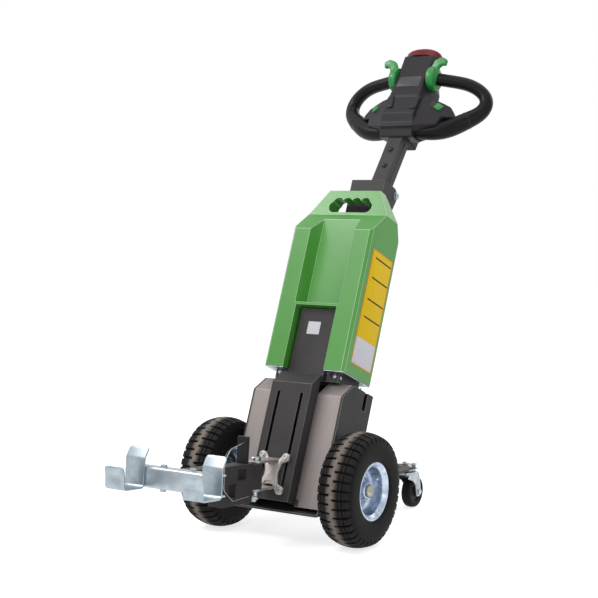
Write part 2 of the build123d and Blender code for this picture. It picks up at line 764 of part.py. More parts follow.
def write(pieces):
    """Move the pieces so that the origin is in the middle of the length, and write each to its file."""
    boxes = [piece.bounding_box() for piece in pieces.values()]
    middle = (min(box.min.Y for box in boxes) + max(box.max.Y for box in boxes)) / 2
    os.makedirs("parts", exist_ok=True)
    for name, piece in pieces.items():
        export_step(Pos(0, -middle, 0) * piece, f"parts/{name}.step")
    print("drive axle stands at y =", round(-middle, 3))


write(build())
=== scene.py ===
"""The looks of a pedestrian electric tow tractor: every surface dressed over the fixed solids.

Shapes are drawn in millimetres in a few local frames (the leaning body, the tiller, the coupling, each
wheel's middle) as x, distance behind and height, and a Station stands them in the world in metres.
"""

import json
import logging
import math
from collections.abc import Callable, Sequence
from dataclasses import dataclass
from enum import Enum
from typing import ClassVar

import bmesh
import bpy
import numpy as np
from mathutils import Matrix


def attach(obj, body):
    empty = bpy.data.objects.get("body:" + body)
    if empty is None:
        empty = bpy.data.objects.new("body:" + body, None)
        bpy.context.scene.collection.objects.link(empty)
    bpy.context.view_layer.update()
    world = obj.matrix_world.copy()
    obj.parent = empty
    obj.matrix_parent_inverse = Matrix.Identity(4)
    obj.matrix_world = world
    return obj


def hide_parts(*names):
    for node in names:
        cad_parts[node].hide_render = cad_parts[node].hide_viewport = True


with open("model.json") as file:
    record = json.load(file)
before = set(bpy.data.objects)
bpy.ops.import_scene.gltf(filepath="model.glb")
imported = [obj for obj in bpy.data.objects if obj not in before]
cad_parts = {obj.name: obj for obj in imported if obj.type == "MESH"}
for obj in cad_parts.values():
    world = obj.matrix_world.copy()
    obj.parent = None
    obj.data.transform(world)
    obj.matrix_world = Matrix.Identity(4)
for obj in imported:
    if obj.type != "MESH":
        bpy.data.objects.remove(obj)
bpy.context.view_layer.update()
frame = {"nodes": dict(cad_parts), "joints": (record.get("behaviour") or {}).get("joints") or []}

MM = 0.001
JOINTS = {joint["name"]: joint for joint in frame["joints"]}
SIDES = (("left", -1), ("right", 1))

logging.basicConfig(level=logging.INFO, format="%(message)s")
log = logging.getLogger("tractor")

Array = np.ndarray
Point = tuple[float, float, float]


@dataclass(frozen=True)
class Station:
    """A local drawing frame: its origin in world metres and its backward lean about x in degrees."""

    origin: Point
    lean: float = 0.0

    def world(self, points: Array) -> Array:
        """Turn local millimetres into world metres.

        Args:
            points: rows of x, distance behind and height, in any array shape that ends in 3.

        Returns:
            The same rows, leaned back about x and moved to the origin.
        """
        lean = math.radians(self.lean)
        x, back, up = np.moveaxis(np.asarray(points, float) * MM, -1, 0)
        turned = (x, back * math.cos(lean) + up * math.sin(lean), up * math.cos(lean) - back * math.sin(lean))
        return np.stack(turned, -1) + np.asarray(self.origin)


AXLE_Y = JOINTS["drive_roll_left"]["pos_m"][1]
AXLE_Z = JOINTS["drive_roll_left"]["pos_m"][2]
TILLER_LEAN = 38.5
BODY = Station((0.0, AXLE_Y, AXLE_Z), 22.1)
TILLER = Station(tuple(JOINTS["tiller_tip"]["pos_m"]), TILLER_LEAN)
COUPLING = Station(tuple(JOINTS["coupling_swing"]["pos_m"]), 4.9)
FLOOR = Station((0.0, AXLE_Y, 0.0))


def linear(code: str) -> tuple[float, float, float, float]:
    """Turn an sRGB hex colour into linear light.

    Args:
        code: six hex digits after a hash.

    Returns:
        Red, green, blue and an alpha of one.
    """
    parts = [int(code[start:start + 2], 16) / 255 for start in (1, 3, 5)]
    light = [part / 12.92 if part <= 0.04045 else ((part + 0.055) / 1.055) ** 2.4 for part in parts]
    return (*light, 1.0)


def add_node(tree: bpy.types.NodeTree, kind: str, inputs: dict | None = None, **settings) -> bpy.types.Node:
    """Add a shader node with its settings, values and links.

    Args:
        tree: the material's node tree.
        kind: the node's class name.
        inputs: what each input takes, by its name or number: a value, or another node's output socket.
        **settings: the node's own properties.

    Returns:
        The new node.
    """
    node = tree.nodes.new(kind)
    for name, value in settings.items():
        setattr(node, name, value)
    for name, value in (inputs or {}).items():
        if isinstance(value, bpy.types.NodeSocket):
            tree.links.new(value, node.inputs[name])
        else:
            node.inputs[name].default_value = value
    return node


def per_metre(size_mm: float) -> float:
    """The scale of a pattern, in repeats a metre, whose features measure size_mm."""
    return 1.0 / (size_mm * MM)


@dataclass(frozen=True)
class Finish:
    """A surface finish: a colour that drifts along one field of noise, and a relief that follows a finer one.

    Each kind of finish gives these values for its own metal, coat or plastic. A kind without a finer field
    takes its relief from the first one. Real grain, peel, brushing and pits are well under a millimetre wide,
    too fine to show on a whole tractor, so they are drawn one to a little over two millimetres wide.
    """

    name: str
    colour: str
    light: str
    roughness: float = 0.5
    drift_mm: float = 90.0
    grain_mm: float = 0.0
    depth_mm: float = 0.05
    metallic: float = 0.0
    specular: float = 0.5

    made: ClassVar[dict] = {}
    drift: ClassVar[dict] = {}
    grain: ClassVar[dict] = {}
    stops: ClassVar[tuple[float, float]] = (0.3, 0.7)
    swing: ClassVar[tuple[float, float] | None] = None
    strength: ClassVar[float] = 0.0

    def material(self) -> bpy.types.Material:
        """The finish's material, drawn the first time that it is asked for."""
        if self not in Finish.made:
            material = bpy.data.materials.new(self.name)
            material.use_nodes = True
            material.diffuse_color = linear(self.colour)
            tree = material.node_tree
            shader = tree.nodes["Principled BSDF"]
            self.draw(tree, shader, add_node(tree, "ShaderNodeTexCoord").outputs["Object"])
            Finish.made[self] = material
        return Finish.made[self]

    def draw(self, tree: bpy.types.NodeTree, shader: bpy.types.Node,
             where: bpy.types.NodeSocket) -> bpy.types.Node:
        """Wire both fields of noise into the colour, the roughness and the relief.

        The colour runs along a ramp between two stops of the first field. The roughness swings about its
        middle value with the finer field, or the first where there is no finer one.

        Args:
            tree: the material's node tree.
            shader: the surface shader.
            where: the coordinates that the noise is read at.

        Returns:
            The ramp node, linked to the shader's base colour.
        """
        drift = add_node(tree, "ShaderNodeTexNoise",
                         {"Vector": where, "Scale": per_metre(self.drift_mm), **self.drift}).outputs["Fac"]
        fine = drift
        if self.grain_mm:
            fine = add_node(tree, "ShaderNodeTexNoise",
                            {"Vector": where, "Scale": per_metre(self.grain_mm), **self.grain}).outputs["Fac"]
        ramp = add_node(tree, "ShaderNodeValToRGB", {"Fac": drift})
        for element, stop, code in zip(ramp.color_ramp.elements, self.stops, (self.colour, self.light)):
            element.position = stop
            element.color = linear(code)
        tree.links.new(ramp.outputs["Color"], shader.inputs["Base Color"])
        shader.inputs["Metallic"].default_value = self.metallic
        shader.inputs["Specular IOR Level"].default_value = self.specular
        shader.inputs["Roughness"].default_value = self.roughness
        if self.swing:
            low, high = (self.roughness + step for step in self.swing)
            varied = add_node(tree, "ShaderNodeMapRange", {
                "Value": self.swinging(drift, fine), "From Min": 0.3, "From Max": 0.7,
                "To Min": low, "To Max": high})
            tree.links.new(varied.outputs["Result"], shader.inputs["Roughness"])
        if self.strength:
            bump = add_node(tree, "ShaderNodeBump", {
                "Height": fine, "Distance": self.depth_mm * MM, "Strength": self.strength})
            tree.links.new(bump.outputs["Normal"], shader.inputs["Normal"])
        return ramp

    def swinging(self, drift: bpy.types.NodeSocket, fine: bpy.types.NodeSocket) -> bpy.types.NodeSocket:
        """The field that the roughness follows, of the two: the first one."""
        return drift


@dataclass(frozen=True)
class PowderCoat(Finish):
    """Powder coat baked on steel: matt, with a fine orange-peel skin that softens each highlight."""

    grain_mm: float = 2.2
    depth_mm: float = 0.12
    specular: float = 0.22

    drift: ClassVar[dict] = {"Detail": 3.0}
    grain: ClassVar[dict] = {"Roughness": 0.4}
    stops: ClassVar[tuple[float, float]] = (0.35, 0.7)
    swing: ClassVar[tuple[float, float] | None] = (-0.05, 0.06)
    strength: ClassVar[float] = 0.45


@dataclass(frozen=True)
class BrushedSteel(Finish):
    """Stainless sheet brushed along its height: fine straight lines that stretch reflections sideways."""

    roughness: float = 0.6
    metallic: float = 0.55
    lean: float = 0.0
    line_mm: float = 1.1
    length_mm: float = 160.0

    drift: ClassVar[dict] = {"Scale": 1.0, "Detail": 4.0, "Roughness": 0.65}
    swing: ClassVar[tuple[float, float] | None] = (-0.08, 0.08)
    strength: ClassVar[float] = 0.5

    def draw(self, tree: bpy.types.NodeTree, shader: bpy.types.Node,
             where: bpy.types.NodeSocket) -> bpy.types.Node:
        """Read the noise in turned and stretched coordinates, one unit to a line's width and to its length.

        Args:
            tree: the material's node tree.
            shader: the surface shader.
            where: the object's own coordinates.

        Returns:
            The ramp node, linked to the shader's base colour.
        """
        size = (self.line_mm * MM, self.line_mm * MM, self.length_mm * MM)
        brushed = add_node(tree, "ShaderNodeMapping", {
            "Vector": where, "Scale": size, "Rotation": (-math.radians(self.lean), 0, 0)},
                           vector_type="TEXTURE")
        return super().draw(tree, shader, brushed.outputs["Vector"])


@dataclass(frozen=True)
class ZincPlate(Finish):
    """Zinc electroplated on steel: a cool, faintly blue metal with soft clouds from the passivating bath."""

    roughness: float = 0.36
    drift_mm: float = 28.0
    grain_mm: float = 1.6
    depth_mm: float = 0.06
    metallic: float = 1.0

    drift: ClassVar[dict] = {"Detail": 4.0, "Distortion": 0.6}
    stops: ClassVar[tuple[float, float]] = (0.32, 0.68)
    swing: ClassVar[tuple[float, float] | None] = (0.07, -0.06)
    strength: ClassVar[float] = 0.35


@dataclass(frozen=True)
class CastMetal(Finish):
    """A shot-blasted casting: dull light metal, pitted all over, so it shines only in broad soft patches."""

    roughness: float = 0.52
    drift_mm: float = 1.5
    depth_mm: float = 0.35
    metallic: float = 0.85

    drift: ClassVar[dict] = {"Detail": 3.0, "Roughness": 0.7}
    stops: ClassVar[tuple[float, float]] = (0.3, 0.62)
    strength: ClassVar[float] = 0.6


@dataclass(frozen=True)
class TurnedSteel(Finish):
    """Bright bolts and turned ends: clean steel with a faint haze of handling marks."""

    roughness: float = 0.3
    drift_mm: float = 6.0
    metallic: float = 1.0

    drift: ClassVar[dict] = {"Detail": 3.0}
    swing: ClassVar[tuple[float, float] | None] = (-0.06, 0.1)


@dataclass(frozen=True)
class MouldedPlastic(Finish):
    """Injection-moulded plastic with a spark-eroded grain: dense fine pits that keep it satin, not glossy."""

    roughness: float = 0.42
    drift_mm: float = 160.0
    grain_mm: float = 1.4
    depth_mm: float = 0.12
    specular: float = 0.45

    grain: ClassVar[dict] = {"Detail": 3.0, "Roughness": 0.6}
    stops: ClassVar[tuple[float, float]] = (0.3, 0.72)
    swing: ClassVar[tuple[float, float] | None] = (-0.04, 0.06)
    strength: ClassVar[float] = 0.5

    def swinging(self, drift: bpy.types.NodeSocket, fine: bpy.types.NodeSocket) -> bpy.types.NodeSocket:
        """The field that the roughness follows, of the two: the eroded grain."""
        return fine


@dataclass(frozen=True)
class GlossPlastic(Finish):
    """Polished moulded plastic for the finger controls: clear highlights over a deep even colour."""

    roughness: float = 0.42
    drift_mm: float = 26.0
    specular: float = 0.45
    coat_weight: float = 0.1
    coat_roughness: float = 0.12
    depth_weight: float = 0.04
    depth_scale: float = 0.004

    strength: ClassVar[float] = 0.2

    def draw(self, tree: bpy.types.NodeTree, shader: bpy.types.Node,
             where: bpy.types.NodeSocket) -> bpy.types.Node:
        """Faint sink marks under a polished skin that lets a little light in.

        Args:
            tree: the material's node tree.
            shader: the surface shader.
            where: the object's own coordinates.

        Returns:
            The ramp node, linked to the shader's base colour.
        """
        shader.inputs["Coat Weight"].default_value = self.coat_weight
        shader.inputs["Coat Roughness"].default_value = self.coat_roughness
        shader.inputs["Subsurface Weight"].default_value = self.depth_weight
        shader.inputs["Subsurface Scale"].default_value = self.depth_scale
        return super().draw(tree, shader, where)


@dataclass(frozen=True)
class Rubber(Finish):
    """Carbon-black rubber, vulcanised in a steel mould: matt, with pale dust where it meets the ground."""

    roughness: float = 0.68
    drift_mm: float = 2.2
    depth_mm: float = 0.2
    specular: float = 0.14
    dust: str = "#6B6259"
    dust_share: float = 0.0
    dust_mm: float = 9.0

    drift: ClassVar[dict] = {"Detail": 4.0, "Roughness": 0.65}
    strength: ClassVar[float] = 0.4

    def draw(self, tree: bpy.types.NodeTree, shader: bpy.types.Node,
             where: bpy.types.NodeSocket) -> bpy.types.Node:
        """Mould grain, and uneven dust where the mesh's own attribute says that it wears.

        Args:
            tree: the material's node tree.
            shader: the surface shader.
            where: the object's own coordinates.

        Returns:
            The node that colours the surface.
        """
        ramp = super().draw(tree, shader, where)
        if not self.dust_share:
            return ramp
        wear = add_node(tree, "ShaderNodeAttribute", attribute_name="wear")
        patch = add_node(tree, "ShaderNodeTexNoise", {
            "Vector": where, "Scale": per_metre(self.dust_mm), "Detail": 5.0, "Roughness": 0.7})
        uneven = add_node(tree, "ShaderNodeMapRange", {
            "Value": patch.outputs["Fac"], "From Min": 0.25, "From Max": 0.6, "To Min": 0.5,
            "To Max": self.dust_share})
        share = add_node(tree, "ShaderNodeMath", {0: wear.outputs["Fac"], 1: uneven.outputs["Result"]},
                         operation="MULTIPLY")
        mix = add_node(tree, "ShaderNodeMix", {
            "Factor": share.outputs["Value"], 6: ramp.outputs["Color"], 7: linear(self.dust)},
                       data_type="RGBA")
        tree.links.new(mix.outputs[2], shader.inputs["Base Color"])
        return mix


@dataclass(frozen=True)
class PrintedFilm(Finish):
    """Ink on a vinyl film: flat even colour under a thin clear layer, with a slightly rippled gloss."""

    drift_mm: float = 3.5
    specular: float = 0.15

    drift: ClassVar[dict] = {"Detail": 3.0}
    strength: ClassVar[float] = 0.3


class Coat(Enum):
    """The finishes of this tractor."""

    BLACK_STEEL = PowderCoat("powder_coated_steel", "#3A3738", "#464243")
    # a darker copy of the black powder coat for faces turned from the lamps: painted shade
    SHADED_SIDE_STEEL = PowderCoat("powder_coated_painted_side_shade", "#1B1B1B", "#232323", 0.46)
    # a light grey for the black plates' rounded edges: a painted highlight along each edge
    PAINTED_STEEL_HIGHLIGHT = PowderCoat("powder_coated_painted_edge_highlight", "#7C7A78", "#8E8C8A", 0.4)
    BLACK_BOLT = PowderCoat("blackened_bolt", "#2B292A", "#383637", 0.36, grain_mm=1.0)
    STAINLESS = BrushedSteel("brushed_stainless", "#89817E", "#A29996", lean=BODY.lean)
    ZINC = ZincPlate("zinc_plated_steel", "#98A2A9", "#B2BBC1")
    ZINC_BRIGHT = ZincPlate("zinc_plated_bright", "#929DA4", "#A9B3B9", 0.34, 26.0)
    RIM = ZincPlate("zinc_plated_rim", "#8D9DB6", "#C6CFDB", 0.28, 20.0)
    CASTING = CastMetal("blasted_aluminium", "#9D9694", "#C2BBB8")
    MOTOR_IRON = CastMetal("painted_motor_casting", "#2A2A2A", "#363636", 0.6, metallic=0.1)
    BOLT = TurnedSteel("turned_steel", "#A7A9AA", "#C9CBCC")
    HUB_METAL = TurnedSteel("dull_turned_steel", "#8E8C82", "#B5B2A4", 0.42)
    GREEN_SHELL = MouldedPlastic("moulded_green_shell", "#4E9C3C", "#58A747", 0.34)
    # a pale green for the case's rounded edges: a painted highlight along each edge
    PAINTED_GREEN_HIGHLIGHT = MouldedPlastic("moulded_green_painted_edge_highlight", "#A9DBA0", "#C4EABD", 0.26, specular=0.6)
    BLACK_SHELL = MouldedPlastic("moulded_black_shell", "#211E23", "#2B272B", 0.44, grain_mm=1.2,
                                 depth_mm=0.16, specular=0.2)
    SLEEVE = MouldedPlastic("moulded_grip_sleeve", "#100F11", "#161517", 0.36, grain_mm=1.2, depth_mm=0.1,
                            specular=0.14)
    STRIP = MouldedPlastic("moulded_blank_strip", "#3A393C", "#454448", 0.32, grain_mm=1.0, depth_mm=0.05)
    GREEN_CONTROL = GlossPlastic("polished_green_control", "#1C863A", "#259443")
    RED_BUTTON = GlossPlastic("polished_red_button", "#680A1A", "#7B1021", 0.4, specular=0.22,
                              coat_weight=0.05)
    TYRE = Rubber("vulcanised_tyre", "#100F10", "#181717", dust="#948981", dust_share=1.0)
    CASTOR_RUBBER = Rubber("vulcanised_castor", "#1B1A1A", "#252323")
    FILM_YELLOW = PrintedFilm("film_yellow", "#FFCF06", "#FFD820")
    FILM_ORANGE = PrintedFilm("film_orange", "#F59412", "#F89E22")
    FILM_WHITE = PrintedFilm("film_white", "#E4E3EC", "#EFEEF4")
    FILM_DARK = PrintedFilm("film_dark", "#2B210C", "#3A2C10")


class Form:
    """Grids and caps gathered into the mesh of one piece, in world metres."""

    def __init__(self, station: Station) -> None:
        """Start an empty form.

        Args:
            station: the local frame that its points are drawn in.
        """
        self.station = station
        self.points: list[Array] = []
        self.faces: list[Array] = []
        self.caps: list[list[int]] = []
        self.wear: list[Array] = []
        self.count = 0

    def grid(self, points: Array, closed_rows: bool = False, caps: bool = False,
             wear: Array | None = None) -> "Form":
        """Add a surface given on a grid, where each cell of four neighbours is one face.

        Args:
            points: local millimetres, in rows and columns; the last column joins the first.
            closed_rows: whether the last row joins the first as well.
            caps: whether a flat face closes the first and the last row.
            wear: how dusty each point is, from 0 to 1.

        Returns:
            The form itself.
        """
        rows, columns = points.shape[:2]
        index = np.arange(rows * columns).reshape(rows, columns) + self.count
        down = np.roll(index, -1, 0) if closed_rows else index[1:]
        here = index if closed_rows else index[:-1]
        faces = np.stack((here, np.roll(here, -1, 1), np.roll(down, -1, 1), down), -1)
        if caps:
            self.caps += [index[0][::-1].tolist(), index[-1].tolist()]
        self.points.append(self.station.world(points).reshape(-1, 3))
        self.faces.append(faces.reshape(-1, 4))
        self.wear.append(np.zeros(rows * columns) if wear is None else wear.reshape(-1))
        self.count += rows * columns
        return self

    def build(self, name: str, coat: Coat, body: str, slot: str, replaces: Sequence[str] = (),
              sharp: float = 35.0, worn: bool = False) -> None:
        """Make the piece: merge its doubles, turn its faces outwards, shade it and hang it on its body.

        Args:
            name: the piece's name.
            coat: its finish.
            body: the body that it rides on.
            slot: the record's material slot for its finish; not used.
            replaces: nodes that it stands for.
            sharp: edges that turn by more than this many degrees stay sharp.
            worn: whether the mesh keeps its wear values as an attribute.
        """
        mesh = bpy.data.meshes.new(name)
        mesh.from_pydata(np.concatenate(self.points), [], np.concatenate(self.faces).tolist() + self.caps)
        if worn:
            values = mesh.attributes.new("wear", "FLOAT", "POINT")
            values.data.foreach_set("value", np.concatenate(self.wear).astype(np.float32))
        work = bmesh.new()
        work.from_mesh(mesh)
        bmesh.ops.remove_doubles(work, verts=work.verts, dist=2e-6)
        bmesh.ops.dissolve_degenerate(work, edges=work.edges, dist=1e-7)
        bmesh.ops.recalc_face_normals(work, faces=work.faces)
        work.to_mesh(mesh)
        work.free()
        hung(bpy.data.objects.new(name, mesh), coat, body, replaces, sharp)


def hung(piece: bpy.types.Object, coat: Coat, body: str, replaces: Sequence[str] = (),
         sharp: float = 35.0) -> None:
    """Link a finished piece into the scene, give it its material and hang it on its body.

    Args:
        piece: the new object.
        coat: its finish.
        body: the body that it rides on.
        replaces: nodes that it stands for.
        sharp: edges that turn by more than this many degrees stay sharp.
    """
    bpy.context.scene.collection.objects.link(piece)
    piece.data.materials.clear()
    piece.data.materials.append(coat.value.material())
    piece.data.shade_smooth()
    piece.data.set_sharp_from_angle(angle=math.radians(sharp))
    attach(piece, body)
    if replaces:
        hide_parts(*replaces)
    log.info("piece %s: %d faces, %s", piece.name, len(piece.data.polygons), coat.value.name)


def merged(nodes: Sequence[str], name: str) -> bpy.types.Mesh:
    """A copy of one or more solids as one mesh with its doubles merged and its flat faces made whole.

    Args:
        nodes: the solids' names.
        name: the new mesh's name.

    Returns:
        The merged mesh.
    """
    work = bmesh.new()
    for node in nodes:
        work.from_mesh(frame["nodes"][node].data)
    bmesh.ops.remove_doubles(work, verts=work.verts, dist=1e-6)
    bmesh.ops.dissolve_limit(work, angle_limit=math.radians(0.5), verts=work.verts, edges=work.edges)
    mesh = bpy.data.meshes.new(name)
    work.to_mesh(mesh)
    work.free()
    return mesh


def softened(node: str, coat: Coat, body: str, width_mm: float, segments: int = 3,
             angle: float = 28.0, edges: Coat | None = None) -> None:
    """Put a piece with the rounded edges of the real one in place of a sharp solid, under a live bevel.

    Args:
        node: the solid's name, which the piece replaces.
        coat: its finish.
        body: the body that it rides on.
        width_mm: how wide the rounding is.
        segments: how many facets the rounding has.
        angle: edges that turn by more than this many degrees are rounded.
        edges: a lighter finish painted on the rounding itself, a painted highlight along each edge.
    """
    piece = bpy.data.objects.new(f"{node}_skin", merged([node], f"{node}_skin"))
    hung(piece, coat, body, [node], angle + 8.0)
    bevel = piece.modifiers.new("rounding", "BEVEL")
    bevel.width = width_mm * MM
    bevel.segments = segments
    bevel.limit_method = "ANGLE"
    bevel.angle_limit = math.radians(angle)
    bevel.use_clamp_overlap = True
    bevel.harden_normals = True
    # the rounding takes a second, lighter material: a painted highlight along each edge
    if edges:
        piece.data.materials.append(edges.value.material())
        bevel.material = 1


def circle(count: int) -> tuple[Array, Array]:
    """Cosines and sines of count equal steps round a circle."""
    angle = np.linspace(0.0, 2 * math.pi, count, endpoint=False)
    return np.cos(angle), np.sin(angle)


def four_round(radius: float) -> list[tuple[float, float]]:
    """Four places at even steps round a circle, the first at 45 degrees."""
    angles = [math.pi / 4 + turn * math.pi / 2 for turn in range(4)]
    return [(radius * math.cos(angle), radius * math.sin(angle)) for angle in angles]


def turned(section: Sequence[tuple[float, float]], at: Point, along: Point, count: int = 48,
           outline: Array | float = 1.0) -> Array:
    """A turned shape: each point of a section (distance along the axis, radius) swept round the axis.

    Args:
        section: the section's points, from one end to the other, with radius 0 at a closed end.
        at: where distance 0 of the axis is.
        along: the axis's direction.
        count: steps round the axis.
        outline: what the radius is multiplied by at each step, 1 for a circle.

    Returns:
        A grid with one row for each point of the section.
    """
    axis = np.asarray(along, float) / np.linalg.norm(along)
    helper = np.array((0.0, 0.0, 1.0)) if abs(axis[2]) < 0.9 else np.array((0.0, 1.0, 0.0))
    first = np.cross(axis, helper)
    first /= np.linalg.norm(first)
    second = np.cross(axis, first)
    cosines, sines = circle(count)
    ring = (cosines[:, None] * first + sines[:, None] * second) * np.reshape(outline, (-1, 1))
    reach, radius = np.asarray(section, float).T
    return np.asarray(at) + reach[:, None, None] * axis + radius[:, None, None] * ring


def shank(reach: float, radius: float, at: Point) -> Array:
    """A bolt's plain shank across x, which reaches as far to each side of its middle."""
    return turned([(-reach, 0), (-reach, radius), (reach, radius), (reach, 0)], at, (1, 0, 0), 24)


def rounded_corners(points: Array, radii: Array, steps: int = 5) -> Array:
    """A polyline in the plane or in space whose inner corners are replaced by arcs.

    The arc of radius r at a corner starts r / tan(half the angle between the runs) before it. Its points lie
    on the circle through both tangent points, found by turning between the two inward normals.

    Args:
        points: the corners, one a row.
        radii: the arc's radius at each corner, 0 where it stays sharp.
        steps: facets in each arc.

    Returns:
        The finer polyline.
    """
    points = np.asarray(points, float)
    fine = [points[:1]]
    for before, corner, after, radius in zip(points, points[1:], points[2:], radii[1:]):
        way_in = (before - corner) / np.linalg.norm(before - corner)
        way_out = (after - corner) / np.linalg.norm(after - corner)
        half = math.acos(np.clip(way_in @ way_out, -1, 1)) / 2
        if radius <= 0 or half > math.pi / 2 - 1e-3:
            fine.append(corner[None])
            continue
        middle = corner + (way_in + way_out) / np.linalg.norm(way_in + way_out) * radius / math.sin(half)
        first = corner + way_in * radius / math.tan(half) - middle
        last = corner + way_out * radius / math.tan(half) - middle
        turn = math.pi - 2 * half
        share = np.linspace(0, turn, steps + 1)[:, None]
        fine.append(middle + (np.sin(turn - share) * first + np.sin(share) * last) / math.sin(turn))
    fine.append(points[-1:])
    return np.concatenate(fine)


def run_along(path: Array) -> Array:
    """The distance along a path at each of its points."""
    return np.concatenate(([0.0], np.cumsum(np.linalg.norm(np.diff(path, axis=0), axis=1))))


def headings(path: Array) -> Array:
    """The unit direction of a path at each of its points."""
    ahead = np.gradient(path, axis=0)
    return ahead / np.linalg.norm(ahead, axis=1)[:, None]


def sampled(path: Array, places: Array) -> Array:
    """The path's points at the given distances along it."""
    return np.stack([np.interp(places, run_along(path), along) for along in path.T], -1)


def spaced(path: Array, count: int) -> Array:
    """The same path with count points at even distances along it."""
    return sampled(path, np.linspace(0.0, run_along(path)[-1], count))


def carried(path: Array, radius: Array | float, count: int = 20) -> Array:
    """A round section carried along a path in space.

    At each point the section stands square to the path, and its first direction is the last one with its
    part along the path taken away, so that it never twists.

    Args:
        path: the path's points.
        radius: the section's radius, one for all or one a point.
        count: steps round the section.

    Returns:
        A grid with one ring for each point of the path.
    """
    ahead = headings(path)
    first = np.cross(ahead[0], (0.0, 0.0, 1.0) if abs(ahead[0][2]) < 0.9 else (1.0, 0.0, 0.0))
    firsts = []
    for direction in ahead:
        first = first - (first @ direction) * direction
        first = first / np.linalg.norm(first)
        firsts.append(first)
    firsts = np.array(firsts)
    seconds = np.cross(ahead, firsts)
    cosines, sines = circle(count)
    radius = np.broadcast_to(radius, len(path))[:, None, None]
    ring = cosines[None, :, None] * firsts[:, None] + sines[None, :, None] * seconds[:, None]
    return path[:, None] + radius * ring


def rounded_bar(width: float, thickness: float, edge: float) -> Array:
    """A rectangle's outline with rounded corners.

    Args:
        width: its width across.
        thickness: its thickness through.
        edge: the radius of its corners.

    Returns:
        Rows of (across, through).
    """
    arc = np.linspace(0, math.pi / 2, 4)
    quarter = np.stack((np.cos(arc), np.sin(arc)), -1) * edge
    corner = np.array((width / 2 - edge, thickness / 2 - edge))
    turns = [((1, 1), quarter), ((-1, 1), quarter[::-1]), ((-1, -1), quarter), ((1, -1), quarter[::-1])]
    return np.concatenate([np.array(sign) * (corner + part) for sign, part in turns])


def bent_sheet(line: Sequence[tuple[float, float]], bends: Sequence[float], thickness: float, middle: float,
               width: float, corner: float = 0.0, edge: float = 0.7) -> Array:
    """A sheet folded along a line in y and z, with rounded bends, edges and end corners.

    The sheet's middle plane follows the line. Its rounded section stands square to the line at each point,
    and near each end its half width falls by r - sqrt(r^2 - (r - s)^2), s being the distance to the end.

    Args:
        line: the middle plane's corners as (behind, height).
        bends: the bend radius at each corner.
        thickness: the sheet's thickness.
        middle: x of the sheet's middle.
        width: the sheet's width.
        corner: r, the radius of the sheet's four corners.
        edge: the rounding of its long edges.

    Returns:
        A grid of rings along the sheet, to be closed by caps.
    """
    fine = rounded_corners(np.asarray(line, float), np.asarray(bends, float), 7)
    if corner > 0:
        steps = corner * (1 - np.cos(np.linspace(0, math.pi / 2, 7)))
        run = run_along(fine)
        between = run[(run > corner) & (run < run[-1] - corner)]
        fine = sampled(fine, np.unique(np.concatenate((steps, run[-1] - steps, between))))
    run = run_along(fine)
    ahead = headings(fine)
    normal = np.stack((-ahead[:, 1], ahead[:, 0]), -1)
    short = np.clip(corner - np.minimum(run, run[-1] - run), 0, corner)
    loss = corner - np.sqrt(np.maximum(corner ** 2 - short ** 2, 0)) if corner > 0 else np.zeros(len(fine))
    section = rounded_bar(width, thickness, edge)
    across = section[:, 0][None] * ((width / 2 - loss) / (width / 2))[:, None]
    through = section[:, 1][None, :, None] * normal[:, None]
    place = fine[:, None] + through
    return np.stack((middle + across, place[..., 0], place[..., 1]), -1)


class Head(Enum):
    """The kinds of screw head."""

    HEX = "hexagon"
    DOME = "dome"
    SOCKET = "socket"


def screw(form: Form, kind: Head, at: Point, along: Point, radius: float, height: float) -> None:
    """Add a screw head with a washer under it, standing on a face.

    A hexagon's radius at an angle t is its apothem over the cosine of t's distance from the nearest flat's
    middle, and its top edge is chamfered. A dome follows a quarter of an ellipse.

    Args:
        form: the form that takes it.
        kind: the kind of head.
        at: the middle of its foot.
        along: its direction, out of the face.
        radius: the head's radius, across the flats of a hexagon.
        height: the head's height.
    """
    washer = radius * 1.32
    thin = height * 0.16
    form.grid(turned(((0, 0), (0, washer), (thin * 0.7, washer), (thin, washer - thin * 0.3), (thin, 0)),
                     at, along, 28))
    if kind is Head.HEX:
        angle = np.linspace(0, 2 * math.pi, 36, endpoint=False)
        flats = 1 / np.cos((angle + math.pi / 6) % (math.pi / 3) - math.pi / 6)
        section = ((thin, 0), (thin, radius), (height * 0.86, radius), (height, radius * 0.88), (height, 0))
        form.grid(turned(section, at, along, 36, flats))
    elif kind is Head.DOME:
        arc = np.linspace(0, math.pi / 2, 8)
        dome = [(thin + (height - thin) * math.sin(a), radius * math.cos(a)) for a in arc]
        form.grid(turned([(thin, 0)] + dome, at, along, 28))
    else:
        well = radius * 0.5
        section = ((thin, 0), (thin, radius), (height * 0.9, radius), (height, radius * 0.9), (height, well),
                   (height * 0.45, well), (height * 0.45, 0))
        form.grid(turned(section, at, along, 28))


class Facing(Enum):
    """Which way a flat plate's outer face looks in its local frame."""

    FRONT = "front"
    SIDE = "side"
    TOP = "top"

    def at(self, foot: float, way: int = 1) -> Callable[[Array], Array]:
        """How a plate is placed so that it faces this way.

        Args:
            foot: where its first face stands on the axis that it looks along.
            way: 1 for a right side and -1 for a left one.

        Returns:
            A function that turns rows of (across, up, out) into local millimetres.
        """
        def place(points: Array) -> Array:
            """Order each row's three values as x, distance behind and height.

            Args:
                points: rows of (across, up, out).

            Returns:
                The rows in local millimetres.
            """
            across, up, out = points[..., 0], points[..., 1], foot + points[..., 2]
            axes = {Facing.FRONT: (across, -out, up), Facing.SIDE: (way * out, across, up),
                    Facing.TOP: (across, up, out)}
            return np.stack(axes[self], -1)

        return place


